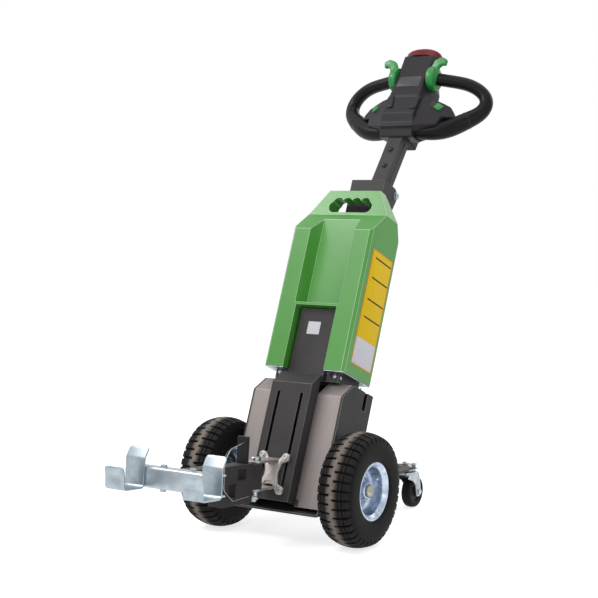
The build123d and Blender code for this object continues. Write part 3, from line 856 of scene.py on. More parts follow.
def plate_form(form: Form, outline: Array, thickness: float, place: Callable[[Array], Array],
               edge: float = 0.8) -> None:
    """Add a flat plate with a softened rim.

    Each ring of its rim is the outline drawn in towards its middle by e(1 - cos t) at the depth e(1 - sin t),
    as t goes from 0 to a quarter turn.

    Args:
        form: the form that takes it.
        outline: the plate's outline in its own plane.
        thickness: its thickness.
        place: turns rows of (across, up, out) into local millimetres.
        edge: e, the rim's rounding.
    """
    ahead = np.roll(outline, -1, 0) - np.roll(outline, 1, 0)
    ahead /= np.maximum(np.linalg.norm(ahead, axis=1), 1e-9)[:, None]
    inward = np.stack((-ahead[:, 1], ahead[:, 0]), -1)
    area = np.sum(outline[:, 0] * np.roll(outline[:, 1], -1) - np.roll(outline[:, 0], -1) * outline[:, 1])
    inward *= math.copysign(1.0, area)
    angle = np.linspace(0, math.pi / 2, 4)
    drawn = np.concatenate((edge * (1 - np.cos(angle[::-1])), edge * (1 - np.cos(angle))))
    depth = np.concatenate((edge * (1 - np.sin(angle[::-1])), thickness - edge * (1 - np.sin(angle))))
    rings = outline[None] + drawn[:, None, None] * inward[None]
    out = np.broadcast_to(depth[:, None, None], rings.shape[:2] + (1,))
    form.grid(place(np.concatenate((rings, out), -1)), caps=True)


def round_outline(corners: Sequence[tuple[float, float]], radius: float, steps: int = 4) -> Array:
    """A closed outline whose corners are rounded by one radius.

    Args:
        corners: the outline's corners in order.
        radius: the radius of each.
        steps: facets in each arc.

    Returns:
        The finer outline.
    """
    points = np.asarray(corners, float)
    ring = np.concatenate((points[-1:], points, points[:1]))
    return rounded_corners(ring, np.full(len(ring), radius), steps)[1:-1]


def box_outline(left: float, right: float, low: float, high: float, radius: float) -> Array:
    """A rectangle's closed outline, from its lower left corner round, with rounded corners."""
    return round_outline([(left, low), (right, low), (right, high), (left, high)], radius)


def mirrored_ring(quarter: Sequence[tuple[float, float]]) -> list[tuple[float, float]]:
    """A closed outline from its upper right quarter, which runs from the right to the top."""
    right = [(x, -z) for x, z in quarter[::-1]] + list(quarter)
    return right + [(-x, -z) for x, z in right]


def moved_line(points: Sequence[tuple[float, float]], distance: float) -> Array:
    """The same open line moved to its left, with its corners mitred.

    Args:
        points: the line's corners.
        distance: how far it moves; a negative distance moves it to its right.

    Returns:
        The moved corners.
    """
    line = np.asarray(points, float)
    runs = np.diff(line, axis=0)
    runs /= np.linalg.norm(runs, axis=1)[:, None]
    normals = np.stack((-runs[:, 1], runs[:, 0]), -1)
    before = np.concatenate((normals[:1], normals))
    after = np.concatenate((normals, normals[-1:]))
    mitre = before + after
    mitre /= np.linalg.norm(mitre, axis=1)[:, None]
    return line + mitre * (distance / np.sum(mitre * before, axis=1))[:, None]


@dataclass
class DriveWheel:
    """A pneumatic tyre on a pressed rim, with its stub axle. Distances are from the wheel's middle."""

    side: str
    way: int
    radius: float = 130.0
    half_tread: float = 37.0
    shoulder_drop: float = 9.0
    belly_half_width: float = 43.3
    belly_radius: float = 94.0
    bead_half_width: float = 36.8
    bead_radius: float = 65.5
    seat_half_width: float = 33.0
    seat_radius: float = 57.0
    wall_rings: tuple = ((75.0, 0.8), (105.0, 0.7))
    wall_ring_width: float = 2.5
    pitches: int = 39
    groove_at: tuple = (17.0, 25.4)
    thin_groove: float = 1.5
    thin_depth: float = 2.8
    thin_wall: float = 0.5
    groove_depth: float = 5.6
    bar_start: float = 3.6
    bar_share: float = 0.21
    bar_wall: float = 0.03
    bar_foot: float = 111.0
    bar_fade: float = 6.0
    crown_foot: float = 118.0
    dust_half_width: float = 9.0
    least_dust: float = 0.03
    axle_radius: float = 12.5
    hub_end: float = 23.0
    flange_in: float = -64.5
    flange: float = 10.0
    flange_bolts: float = 29.0
    rim_bolt_circle: float = 38.5
    disc_front: float = -0.6
    disc_back: float = -5.6

    def __post_init__(self) -> None:
        """Stand the wheel on its joint."""
        self.station = Station(tuple(JOINTS[f"drive_roll_{self.side}"]["pos_m"]))
        self.body = f"drive_wheel_{self.side}"

    def crown(self, x: Array) -> Array:
        """The tread's radius: an arc through the middle and both shoulders."""
        arc = (self.half_tread ** 2 + self.shoulder_drop ** 2) / (2 * self.shoulder_drop)
        return self.radius - arc + np.sqrt(arc ** 2 - x ** 2)

    def section(self) -> tuple[Array, Array, Array]:
        """The tyre's section from bead to bead.

        The crown is an arc. The wall swells from the shoulder to the belly as the sine of a quarter turn, and
        tucks in to the bead as its cosine, with two low moulded rings on it.

        Returns:
            Each point's x and radius, and how deep its bars may be, from 0 to 1.
        """
        walls = [edge + step for edge in self.groove_at
                 for step in (-self.thin_wall, 0.0, self.thin_groove - self.thin_wall, self.thin_groove)]
        right = [0.0, self.bar_start - 0.7, self.bar_start, 8.0, 12.5, *walls, 31.0, 35.0, 36.4]
        x = np.concatenate((-np.array(right[:0:-1]), right))
        share = np.where(np.abs(x) >= self.bar_start, 1.0, 0.0)
        shoulder = self.radius - self.shoulder_drop
        down = np.linspace(0, 1, 8)[:-1]
        under = np.linspace(0, 1, 9) * math.pi / 2
        swell = self.belly_half_width - self.half_tread
        tuck = self.belly_half_width - self.bead_half_width
        wall_x = np.concatenate((self.half_tread + swell * np.sin(down * math.pi / 2),
                                 self.bead_half_width + tuck * np.cos(under),
                                 (self.seat_half_width + 1.0, self.seat_half_width)))
        wall_r = np.concatenate((shoulder - (shoulder - self.belly_radius) * down,
                                 self.belly_radius - (self.belly_radius - self.bead_radius) * np.sin(under),
                                 (self.bead_radius - 2.5, self.seat_radius)))
        for at, height in self.wall_rings:
            wall_x = wall_x + height * np.exp(-((wall_r - at) / self.wall_ring_width) ** 2)
        wall_x = np.minimum(wall_x, self.belly_half_width)
        wall_share = np.clip((wall_r - self.bar_foot) / self.bar_fade, 0, 1)
        return (np.concatenate((-wall_x[::-1], x, wall_x)),
                np.concatenate((wall_r[::-1], self.crown(x), wall_r)),
                np.concatenate((wall_share[::-1], share, wall_share)))

    def tyre(self) -> None:
        """The tyre, with a plain middle rib and rows of blocks each side of it.

        The radius at (x, angle) is the section's, less the depth of the deepest groove there. Two thin
        grooves run round on each side. Bars run outwards from near the middle and over the shoulder, once a
        pitch, those on one side half a pitch ahead of the other's. Dust thins out from the middle as
        1 / (1 + (x / half width)^6).
        """
        x, r, share = self.section()
        half, wall = self.bar_share / 2, self.bar_wall
        low = np.array([0.0, half, half + wall + 0.005, 0.19])
        lines = np.concatenate((low, 0.5 - low))
        steps = np.unique(np.round(np.concatenate((lines, 1.0 - lines)) % 1.0, 6))
        steps = np.concatenate([pitch + steps for pitch in range(self.pitches)])
        phase = steps[:, None] + np.where(x > 0, 0.5, 0.0)[None]
        off = np.abs((phase + 0.5) % 1.0 - 0.5)
        bar = np.clip((half + wall + 0.004 - off) / wall, 0, 1) * share[None]
        reach = np.abs(x)
        ring = np.zeros(len(x), bool)
        for edge in self.groove_at:
            ring |= (reach > edge - 0.2) & (reach < edge + self.thin_groove - 0.2) & (r > self.crown_foot)
        depth = np.maximum(self.groove_depth * bar, self.thin_depth * ring[None])
        angle = steps * (2 * math.pi / self.pitches)
        radius = r[None] - depth
        points = np.stack((np.broadcast_to(x, radius.shape), radius * np.cos(angle)[:, None],
                           radius * np.sin(angle)[:, None]), -1)
        dust = self.least_dust + (1 - self.least_dust) / (1 + (reach / self.dust_half_width) ** 6)
        dust = np.where(r > self.bar_foot + self.bar_fade, dust, 0.0)
        wear = np.where(depth > 0.4, 0.0, dust[None])
        form = Form(self.station).grid(points, closed_rows=True, wear=wear)
        form.build(f"tyre_{self.side}", Coat.TYRE, self.body, "tyre_rubber", [f"drive_tyre_{self.side}"],
                   32.0, worn=True)

    def rim(self) -> None:
        """The rim: a rolled lip, a deep well, a dished disc and the hub, as one turned section."""
        lip = [(33.0, 56.9), (33.8, 61.0), (35.4, 64.4), (37.3, 66.0), (38.5, 65.6), (38.8, 64.0),
               (38.0, 61.4)]
        dish = [(36.0, 58.6), (34.0, 56.6), (32.6, 54.6), (31.0, 53.2), (28.0, 52.4), (12.0, 51.4),
                (6.0, 50.2), (2.0, 47.6), (0.0, 43.8), (-0.4, 40.0), (0.6, 35.6), (2.6, 31.0), (5.4, 26.8)]
        hub = [(9.0, 23.4), (13.6, 20.8), (19.0, 19.2), (22.2, 18.4), (23.0, 17.4), (23.0, 12.7),
               (-23.0, 12.7), (-23.0, 24.0)]
        back = [(-8.0, 24.4), (-5.5, 30.0), (-5.8, 44.0), (-6.0, 50.6), (-26.0, 52.0), (-32.6, 54.6),
                (-36.0, 58.6), (-38.8, 64.0), (-37.3, 66.0), (-33.8, 61.0), (-33.0, 56.9), (-25.0, 55.2),
                (25.0, 55.2)]
        section = lip + dish + hub + back
        form = Form(self.station).grid(turned(section, (0, 0, 0), (self.way, 0, 0), 96), closed_rows=True)
        form.build(f"rim_{self.side}", Coat.RIM, self.body, "rim_steel", [f"drive_rim_{self.side}"], 40.0)

    def rim_bolts(self) -> None:
        """Four domed bolts that clamp the rim's halves, four nuts behind them, and the tyre's valve."""
        form = Form(self.station)
        for y, z in four_round(self.rim_bolt_circle):
            screw(form, Head.DOME, (self.way * self.disc_front, y, z), (self.way, 0, 0), 5.2, 4.2)
            screw(form, Head.HEX, (self.way * self.disc_back, y, z), (-self.way, 0, 0), 5.5, 5.5)
        valve = ((0, 0), (0, 3.6), (7, 3.3), (8, 2.4), (14, 2.4), (14.3, 3.0), (20, 2.8), (20.6, 2.0),
                 (20.6, 0))
        valve_at, valve_lean = (self.way * 9, 45.0, 26.0), (self.way, -0.55, -0.35)
        form.grid(turned(valve, valve_at, valve_lean, 18))
        form.build(f"rim_bolts_{self.side}", Coat.BOLT, self.body, "rim_steel")

    def axle(self) -> None:
        """The stub axle: a flange on the chassis side, the shaft, and a dull cap nut with a dimple."""
        a, end, foot = self.axle_radius, self.hub_end + 0.3, self.flange_in
        face = foot + self.flange
        section = [(foot, 0), (foot, 37.2), (foot + 0.8, 38.0), (face - 0.8, 38.0), (face, 37.2),
                   (face, 17.0), (face + 4, 15.5), (-self.hub_end - 0.3, 15.5), (-self.hub_end, a),
                   (end, a), (end, 14.6), (end + 0.8, 15.0), (end + 3.0, 14.9), (end + 5.6, 14.0),
                   (end + 7.6, 12.0), (end + 8.7, 9.0), (end + 9.0, 4.6), (end + 7.4, 3.8), (end + 7.2, 0)]
        form = Form(self.station).grid(turned(section, (0, 0, 0), (self.way, 0, 0), 48))
        for y, z in four_round(self.flange_bolts):
            screw(form, Head.HEX, (self.way * face, y, z), (self.way, 0, 0), 5.0, 5.0)
        form.build(f"stub_axle_{self.side}", Coat.HUB_METAL, "chassis", "axle_steel",
                   [f"drive_axle_{self.side}"])

    def build(self) -> None:
        """Make the wheel's pieces."""
        self.tyre()
        self.rim()
        self.rim_bolts()
        self.axle()


@dataclass
class Castor:
    """A swivel castor behind the chassis, drawn from its swivel axis on the floor."""

    side: str
    trail: float = 30.0
    wheel_radius: float = 40.0
    half_width: float = 12.5
    arm_foot: float = 104.0
    arm_plate: float = 8.0
    crown_drop: float = 7.3
    fork_half: float = 15.5
    sheet: float = 3.0
    plate_half: float = 22.0
    bolt_half: float = 14.0

    def __post_init__(self) -> None:
        """Stand the castor on its swivel axis."""
        x, y, _ = JOINTS[f"castor_swivel_{self.side}"]["pos_m"]
        self.station = Station((x, y, 0.0))
        self.body = f"castor_{self.side}"
        self.roller = f"castor_roller_{self.side}"

    def wheel(self) -> None:
        """A soft tread moulded on a hub with its bearing sleeve, all turned about the axle.

        At a from a quarter turn below to one above, the tread is 0.98 w sin a across and its radius falls by
        6 (1 - cos a)^1.4.
        """
        at, along = (0.0, self.trail, self.wheel_radius), (1, 0, 0)
        w, r = self.half_width, self.wheel_radius
        arc = np.linspace(-math.pi / 2, math.pi / 2, 11)
        tread = [(w * 0.98 * math.sin(a), r - 6.0 * (1 - math.cos(a)) ** 1.4) for a in arc]
        tread = [(-w * 0.94, 27.5), (-w * 0.99, 31.0)] + tread[1:-1] + [(w * 0.99, 31.0), (w * 0.94, 27.5)]
        form = Form(self.station).grid(turned(tread, at, along, 64), closed_rows=True)
        form.build(f"castor_tread_{self.side}", Coat.CASTOR_RUBBER, self.roller, "castor_rubber",
                   [f"castor_wheel_{self.side}"])
        half = [(11.0, 28.4), (10.5, 25.4), (6.0, 24.0), (6.5, 14.0), (9.5, 11.6), (w, 11.0), (w, 5.2)]
        hub = [(-x, radius) for x, radius in half[::-1]] + half
        form = Form(self.station).grid(turned(hub, at, along, 64), closed_rows=True)
        form.build(f"castor_hub_{self.side}", Coat.BLACK_SHELL, self.roller, "castor_rubber")

    def fork(self) -> None:
        """The pressed fork: a crown with a rolled rim, two tapering legs, and the axle bolt."""
        top = self.arm_foot - self.crown_drop
        form = Form(self.station)
        crown = [(0, 6.1), (0, 25.0), (-0.6, 25.8), (-1.6, 26.0), (-5.4, 26.0), (-6.0, 25.4), (-6.0, 6.1)]
        form.grid(turned(crown, (0, 0, top), (0, 0, 1), 56), closed_rows=True)
        y, z = self.trail, self.wheel_radius
        leg = [(-21.0, top - 3), (24.0, top - 3), (32.0, top - 8), (y + 8.0, 70.0), (y + 12.0, z),
               (y + 8.0, z - 11.0), (y - 8.0, z - 11.0), (y - 12.0, z), (14.0, 60.0), (2.0, 71.0),
               (-12.0, 77.0), (-24.0, 80.0)]
        outline = round_outline(leg, 5.0)
        for foot in (-self.fork_half - self.sheet, self.fork_half):
            plate_form(form, outline, self.sheet, Facing.SIDE.at(foot))
        form.build(f"castor_fork_skin_{self.side}", Coat.ZINC, self.body, "zinc_plate",
                   [f"castor_fork_{self.side}"])
        bolts = Form(self.station)
        reach = self.fork_half + self.sheet
        bolts.grid(shank(reach + 1, 5.0, (0, y, z)))
        for way in (-1, 1):
            screw(bolts, Head.HEX, (way * reach, y, z), (way, 0, 0), 6.6, 4.8)
        bolts.build(f"castor_axle_{self.side}", Coat.BOLT, self.body, "zinc_plate")

    def head(self) -> None:
        """The fixed half: top plate with its four screws, and the ball race's pressed cup."""
        foot, half, far = self.arm_foot - self.sheet, self.plate_half, self.bolt_half
        form = Form(self.station)
        plate_form(form, box_outline(-half, half, -half, half, 5.0), self.sheet, Facing.TOP.at(foot), 0.7)
        cup = [(0, 0), (0, 19.4), (-1.4, 19.8), (-3.2, 18.6), (-4.0, 16.0), (-4.0, 6.0), (-12.2, 6.0),
               (-12.2, 0)]
        form.grid(turned(cup, (0, 0, foot), (0, 0, 1), 48))
        form.build(f"castor_head_skin_{self.side}", Coat.ZINC, "chassis", "zinc_plate",
                   [f"castor_head_{self.side}"])
        bolts = Form(self.station)
        for x, y in ((-far, -far), (far, -far), (-far, far), (far, far)):
            screw(bolts, Head.HEX, (x, y, self.arm_foot + self.arm_plate), (0, 0, 1), 5.0, 4.6)
            screw(bolts, Head.DOME, (x, y, foot), (0, 0, -1), 4.2, 2.2)
        bolts.build(f"castor_bolts_{self.side}", Coat.BOLT, "chassis", "zinc_plate")

    def build(self) -> None:
        """Make the castor's pieces."""
        self.wheel()
        self.fork()
        self.head()


@dataclass
class Chassis:
    """The leaning box: black plates, stainless covers, the slotted channel and what bolts to them."""

    cover_front: float = 43.0
    cover_foot: float = 64.0
    shoulder: float = 199.0
    deck: float = 236.0
    shoulder_back: float = 39.0
    shoulder_bend: float = 4.0
    cover_in: float = 54.0
    cover_out: float = 118.0
    sheet: float = 2.0
    clip: tuple[float, float, float, float] = (54.4, 62.5, -62.5, -48.0)
    chassis_back: float = 94.0
    bracket_thickness: float = 5.0
    seat: float = 259.0
    seat_half: float = 86.0
    seat_screws: float = 9.0
    notch_face: float = 114.0
    notch_block: tuple[float, float, float, float] = (38.0, 52.0, 202.5, 212.5)
    mast_half: float = 47.0
    mast_face: float = 73.0
    mast_screws: tuple[float, ...] = (300.0, 430.0, 640.0)
    pin_back: float = 140.0
    pin_height: float = 763.0
    pin_radius: float = 6.0

    def plates(self) -> None:
        """Round the edges of the bent and cut plates, with a lighter painted highlight on the rounding, and
        give the side plates a darker copy of the black coat as painted shade.
        """
        for side, _ in SIDES:
            # the side plates take the darker copy of the black coat as painted shade
            softened(f"side_plate_{side}", Coat.SHADED_SIDE_STEEL, "chassis", 1.0, 2,
                     edges=Coat.PAINTED_STEEL_HIGHLIGHT)
            softened(f"castor_arm_{side}", Coat.BLACK_STEEL, "chassis", 1.0, 2,
                     edges=Coat.PAINTED_STEEL_HIGHLIGHT)
        for node, width in (("base_plate", 0.9), ("back_plate", 0.8), ("deck", 0.8), ("centre_channel", 1.6),
                            ("seat_block", 0.8), ("castor_cross", 1.0), ("mast", 1.3)):
            softened(node, Coat.BLACK_STEEL, "chassis", width, edges=Coat.PAINTED_STEEL_HIGHLIGHT)
        softened("seat_sheet", Coat.ZINC, "chassis", 0.6, 2)
        softened("drive_block", Coat.MOTOR_IRON, "chassis", 6.0, 4)

    def covers(self) -> None:
        """The two stainless covers, folded at the shoulder."""
        line = [(-self.cover_front, -self.cover_foot), (-self.cover_front, self.shoulder),
                (self.shoulder_back - self.cover_front, self.deck)]
        middle_line = moved_line(line, -self.sheet / 2)
        middle, width = (self.cover_in + self.cover_out) / 2, self.cover_out - self.cover_in - 0.8
        for side, way in SIDES:
            grid = bent_sheet(middle_line, (0, self.shoulder_bend, 0), self.sheet, way * middle, width,
                              edge=0.6)
            form = Form(BODY).grid(grid, caps=True)
            form.build(f"cover_skin_{side}", Coat.STAINLESS, "chassis", "stainless", [f"cover_{side}"])

    def front_clips(self) -> None:
        """A small black clip over each cover's lower inner corner, by the channel."""
        form = Form(BODY)
        near, far, low, high = self.clip
        for _, way in SIDES:
            plate_form(form, box_outline(way * near, way * far, low, high, 1.5), 3.0,
                       Facing.FRONT.at(self.cover_front - 0.2), 0.6)
        form.build("cover_clips", Coat.BLACK_STEEL, "chassis", "black_steel")

    def screws(self) -> None:
        """The small bright screws: in the side notches, along the seat's edge and on the back plate."""
        form = Form(BODY)
        y0, y1, z0, z1 = self.notch_block
        seat_screws = self.seat - self.seat_screws
        for _, way in SIDES:
            notch = (way * (self.notch_face + 4.0), y1 - 4.0, (z0 + z1) / 2)
            screw(form, Head.DOME, notch, (way, 0, 0), 3.0, 1.8)
            for back in (-8.0, 92.0):
                screw(form, Head.DOME, (way * self.seat_half, back, seat_screws), (way, 0, 0), 3.4, 2.2)
            screw(form, Head.DOME, (way * (self.seat_half - 10), -20.0, seat_screws), (0, -1, 0), 3.4, 2.2)
            for up in (10.0, 200.0):
                screw(form, Head.SOCKET, (way * 100.0, self.chassis_back, up), (0, 1, 0), 5.0, 4.0)
            for up in (150.0, 215.0):
                bracket = self.chassis_back + self.bracket_thickness
                screw(form, Head.HEX, (way * 30.0, bracket, up), (0, 1, 0), 6.0, 5.0)
        form.build("plate_screws", Coat.BOLT, "chassis", "zinc_plate")
        blocks = Form(BODY)
        outline = round_outline([(y0, z0), (y0, z1), (y1, z1), (y1, z0)], 2.0)
        for _, way in SIDES:
            plate_form(blocks, outline, 4.0, Facing.SIDE.at(self.notch_face, way))
        blocks.build("notch_blocks", Coat.BLACK_SHELL, "chassis", "black_steel")

    def tiller_bolt(self) -> None:
        """The tiller's pivot bolt: hexagon head, washer, and nut with the thread's end showing."""
        form = Form(BODY)
        at = (0, self.pin_back, self.pin_height)
        form.grid(shank(self.mast_half, self.pin_radius, at))
        for way, height in ((1, 5.6), (-1, 5.0)):
            screw(form, Head.HEX, (way * self.mast_half, *at[1:]), (way, 0, 0), 7.6, height)
        form.build("tiller_bolt", Coat.ZINC_BRIGHT, "chassis", "zinc_plate", ["tiller_pin"])

    def mast_trim(self) -> None:
        """The socket screws in the mast's front face."""
        form = Form(BODY)
        for up in self.mast_screws:
            screw(form, Head.SOCKET, (0, self.mast_face, up), (0, -1, 0), 5.0, 3.2)
        form.build("mast_screws", Coat.BLACK_BOLT, "chassis", "black_steel")

    def build(self) -> None:
        """Make the chassis's pieces."""
        self.plates()
        self.covers()
        self.front_clips()
        self.screws()
        self.tiller_bolt()
        self.mast_trim()


@dataclass
class Pack:
    """The moulded battery case with its blank label."""

    half_width: float = 110.0
    label_front: float = -20.0
    label_back: float = 81.0
    label_foot: float = 286.0
    label_top: float = 568.0
    border: float = 3.2
    film_thickness: float = 0.35
    panel_top: float = 353.0
    bars: tuple[float, ...] = (550.0, 501.0, 448.0, 404.5)
    bar_half: float = 1.8
    patch_front: float = 25.95
    patch_box: tuple[float, float, float, float] = (-21.5, 12.5, 346.0, 377.0)

    def case(self) -> None:
        """The case, its moulded edges rounded and painted a pale green as a highlight."""
        softened("pack_case", Coat.GREEN_SHELL, "pack", 3.0, 3, 22.0, Coat.PAINTED_GREEN_HIGHLIGHT)

    def film(self, name: str, coat: Coat, box: tuple[float, float, float, float], corner: float,
             foot: float) -> None:
        """A printed field of the label: a thin rounded plate on the case's right side.

        Args:
            name: the piece's name.
            coat: its finish.
            box: back of its front edge, back of its rear edge, foot and top.
            corner: its corners' radius.
            foot: how far it stands above the case, in millimetres.
        """
        form = Form(BODY)
        plate_form(form, box_outline(*box, corner), self.film_thickness,
                   Facing.SIDE.at(self.half_width + foot), 0.1)
        form.build(name, coat, "pack", "green_shell")

    def label(self) -> None:
        """The label: an orange rim, a yellow field with four dark dividing bars, and a white lower panel."""
        y0, y1, b = self.label_front, self.label_back, self.border
        self.film("label_rim", Coat.FILM_ORANGE, (y0, y1, self.label_foot, self.label_top), 3.0, -0.1)
        for name, coat, low, high in (("field", Coat.FILM_YELLOW, self.panel_top, self.label_top - b),
                                      ("panel", Coat.FILM_WHITE, self.label_foot + b, self.panel_top - 0.6)):
            self.film(f"label_{name}", coat, (y0 + b, y1 - b, low, high), 1.5, 0.15)
        for number, height in enumerate(self.bars):
            box = (y0 + 17, y1 - 4, height - self.bar_half, height + self.bar_half)
            self.film(f"label_bar_{number}", Coat.FILM_DARK, box, 0.8, 0.4)

    def patch(self) -> None:
        """A blank white patch on the guide plate that stands in the case's notch."""
        form = Form(BODY)
        plate_form(form, box_outline(*self.patch_box, 1.2), self.film_thickness,
                   Facing.FRONT.at(self.patch_front), 0.1)
        form.build("blank_patch", Coat.FILM_WHITE, "chassis", "black_steel")

    def build(self) -> None:
        """Make the pack's pieces."""
        self.case()
        self.label()
        self.patch()


@dataclass
class Tiller:
    """The square tube and the moulded head with its grip, finger controls and safety button."""

    tube_half: float = 20.0
    tube_forward: float = 9.0
    tube_bolts: tuple[float, ...] = (77.0, 128.6)
    tube_bead: tuple[float, ...] = (-14.0, 60.0, 164.0)
    bead_radius: float = 1.9
    grip_radius: float = 16.5
    grip_rings: int = 90
    pod_top: float = 421.0
    button_half_width: float = 51.0
    button_half_depth: float = 30.0
    button_forward: float = 36.8
    button_rise: float = 31.0
    button_wall: float = 0.45
    hub_start: float = 44.0
    hub_end: float = 66.0
    hub_height: float = 355.0
    hub_forward: float = 42.0
    hub_radius: float = 33.0
    blade_forward: float = 54.0
    blade_tilt: float = 20.0
    blade_thickness: float = 13.0
    blade_edge: float = 4.6
    blade_outline: tuple = ((45.0, -24.0, 6.0), (46.0, 16.0, 20.0), (57.0, 43.0, 14.0), (77.0, 51.0, 12.0),
                            (92.0, 43.0, 6.0), (90.0, 25.0, 5.0), (80.0, 29.0, 7.0), (72.0, 22.0, 7.0),
                            (69.5, 0.0, 16.0), (66.0, -24.0, 6.0))
    voxel_mm: float = 1.8
    wing_turn: float = 23.5
    rocker_at: Point = (91.0, 31.0, 268.0)
    strip_face: float = 63.5
    marks_face: float = 61.0
    easings: int = 28
    swell: float = 0.4
    swell_at: float = 0.27
    swell_length: float = 0.2
    swell_lift: float = 3.0
    bead_at: float = 160.0
    grip_line: tuple = ((26.0, -15.0, 200.0, 0.0), (105.0, 1.0, 203.0, 110.0), (200.0, 19.0, 289.0, 50.0),
                        (200.0, 11.0, 332.0, 33.0), (154.0, -14.0, 356.0, 100.0), (30.0, -44.0, 360.0, 0.0))

    def tube(self) -> None:
        """The tube with rounded corners, the bolts through it, and a weld bead down each side."""
        softened("tiller_tube", Coat.BLACK_STEEL, "tiller", 2.4, 4)
        form = Form(TILLER)
        for height in self.tube_bolts:
            screw(form, Head.DOME, (0, -self.tube_forward - self.tube_half, height), (0, -1, 0), 6.6, 5.0)
            screw(form, Head.HEX, (0, self.tube_half - self.tube_forward, height), (0, 1, 0), 5.5, 4.5)
        form.build("tube_bolts", Coat.BLACK_BOLT, "tiller", "black_steel")
        beads = Form(TILLER)
        for _, way in SIDES:
            path = np.array([(way * self.tube_half, 3.0 - self.tube_forward, up) for up in self.tube_bead])
            beads.grid(carried(path, self.bead_radius, 12), caps=True)
        beads.build("tube_beads", Coat.STRIP, "tiller", "black_steel")

    def housing(self) -> None:
        """The head's housing: block, wings and pod as one moulding with its edges melted together."""
        mesh = merged(["head_block", "pod"], "head_housing")
        piece = bpy.data.objects.new("head_housing", mesh)
        bpy.context.scene.collection.objects.link(piece)
        remesh = piece.modifiers.new("moulding", "REMESH")
        remesh.mode = "VOXEL"
        remesh.voxel_size = self.voxel_mm * MM
        smooth = piece.modifiers.new("softening", "CORRECTIVE_SMOOTH")
        smooth.factor = 0.5
        smooth.iterations = 5
        smooth.use_only_smooth = True
        smooth.use_pin_boundary = False
        melted = bpy.data.meshes.new_from_object(piece.evaluated_get(bpy.context.evaluated_depsgraph_get()))
        bpy.data.objects.remove(piece)
        melted.name = "head_housing"
        hung(bpy.data.objects.new("head_housing", melted), Coat.BLACK_SHELL, "tiller",
             ["head_block", "pod"], 50.0)

    def grip(self) -> None:
        """The grip: a round tube carried along its bent line, with a sleeve's bead at its lower run.

        The line's corners are rounded and then eased: each point becomes half of itself and a quarter of each
        neighbour. At a share s of its length the tube swells and lifts by exp(-((s - middle) / length)^2).
        """
        form = Form(TILLER)
        beads = Form(TILLER)
        count = self.grip_rings
        for _, way in SIDES:
            corners = np.array([(way * x, y, z) for x, y, z, _ in self.grip_line])
            path = spaced(rounded_corners(corners, np.array([line[3] for line in self.grip_line]), 16), count)
            for _ in range(self.easings):
                path[1:-1] = (path[:-2] + 2 * path[1:-1] + path[2:]) / 4
            share = np.exp(-((np.linspace(0, 1, count) - self.swell_at) / self.swell_length) ** 2)
            path = path + share[:, None] * np.array((0, 0, self.swell_lift))
            radius = self.grip_radius * (1 + self.swell * share)
            form.grid(carried(path, radius, 32), caps=True)
            at = np.argmin(np.abs(np.abs(path[:count // 2, 0]) - self.bead_at))
            outer, inner = radius[at] + 0.6, radius[at] - 1
            section = [(-1.6, inner), (-1.4, outer), (1.4, outer), (1.6, inner)]
            beads.grid(turned(section, path[at], path[at + 1] - path[at - 1], 32), closed_rows=True)
        form.build("grip_tube", Coat.SLEEVE, "tiller", "grip_sleeve", ["grip"])
        beads.build("grip_beads", Coat.BLACK_SHELL, "tiller", "grip_sleeve")

    def button(self) -> None:
        """The safety button: an oval dome over a straight wall.

        At a share s from the middle to the rim the dome stands (1 - s^3)^0.5 of its own rise above the wall.
        Its plan is an oval a little squarer than an ellipse: half axes times cos^0.9 and sin^0.9.
        """
        share = np.sin(np.linspace(0, math.pi / 2, 18))
        wall = self.button_rise * self.button_wall
        height = self.pod_top + wall + (self.button_rise - wall) * (1 - share ** 3) ** 0.5
        across, through = (np.sign(wave) * np.abs(wave) ** 0.9 for wave in circle(64))
        x = share[:, None] * self.button_half_width * across
        y = share[:, None] * self.button_half_depth * through - self.button_forward
        dome = np.stack((x, y, np.broadcast_to(height[:, None], x.shape)), -1)
        skirt = np.stack([dome[-1] - np.array((0, 0, drop)) for drop in (1.5, wall - 0.4)])
        skirt = np.concatenate((dome, skirt, np.broadcast_to(skirt[-1].mean(0), skirt[-1:].shape)))
        form = Form(TILLER).grid(skirt)
        form.build("button_dome", Coat.RED_BUTTON, "tiller", "red_button", ["safety_button"])

    def thumb_wing(self, side: str, way: int) -> None:
        """A finger control: a rounded collar on the grip, and a blade that rises beside the pod to a claw.

        Args:
            side: left or right.
            way: -1 for the left and 1 for the right.
        """
        form = Form(TILLER)
        r, bore, start, end = self.hub_radius, self.grip_radius + 0.2, self.hub_start, self.hub_end
        collar = [(start, bore), (start, r - 5), (start + 1.6, r - 1.6), (start + 6, r), (end - 8, r),
                  (end - 2.4, r - 2.8), (end, r - 8), (end, bore)]
        form.grid(turned(collar, (0, -self.hub_forward, self.hub_height), (way, 0, 0), 56), closed_rows=True)
        corners = np.array(self.blade_outline[-1:] + self.blade_outline + self.blade_outline[:1])
        ring = rounded_corners(corners[:, :2], corners[:, 2], 5)[1:-1]
        tilt = math.radians(self.blade_tilt)

        def place(points: Array) -> Array:
            """Stand each row on the blade's plane, which tips forward by its tilt.

            Args:
                points: rows of (across, up, out) on the blade.

            Returns:
                The rows in local millimetres.
            """
            height, out = points[..., 1], points[..., 2] - self.blade_thickness / 2
            ahead = self.blade_forward + height * math.sin(tilt) + out * math.cos(tilt)
            up = self.hub_height + height * math.cos(tilt) - out * math.sin(tilt)
            return np.stack((way * points[..., 0], -ahead, up), -1)

        plate_form(form, ring, self.blade_thickness, place, self.blade_edge)
        form.build(f"thumb_blade_{side}", Coat.GREEN_CONTROL, "tiller", "green_control",
                   [f"thumb_wing_{side}"])

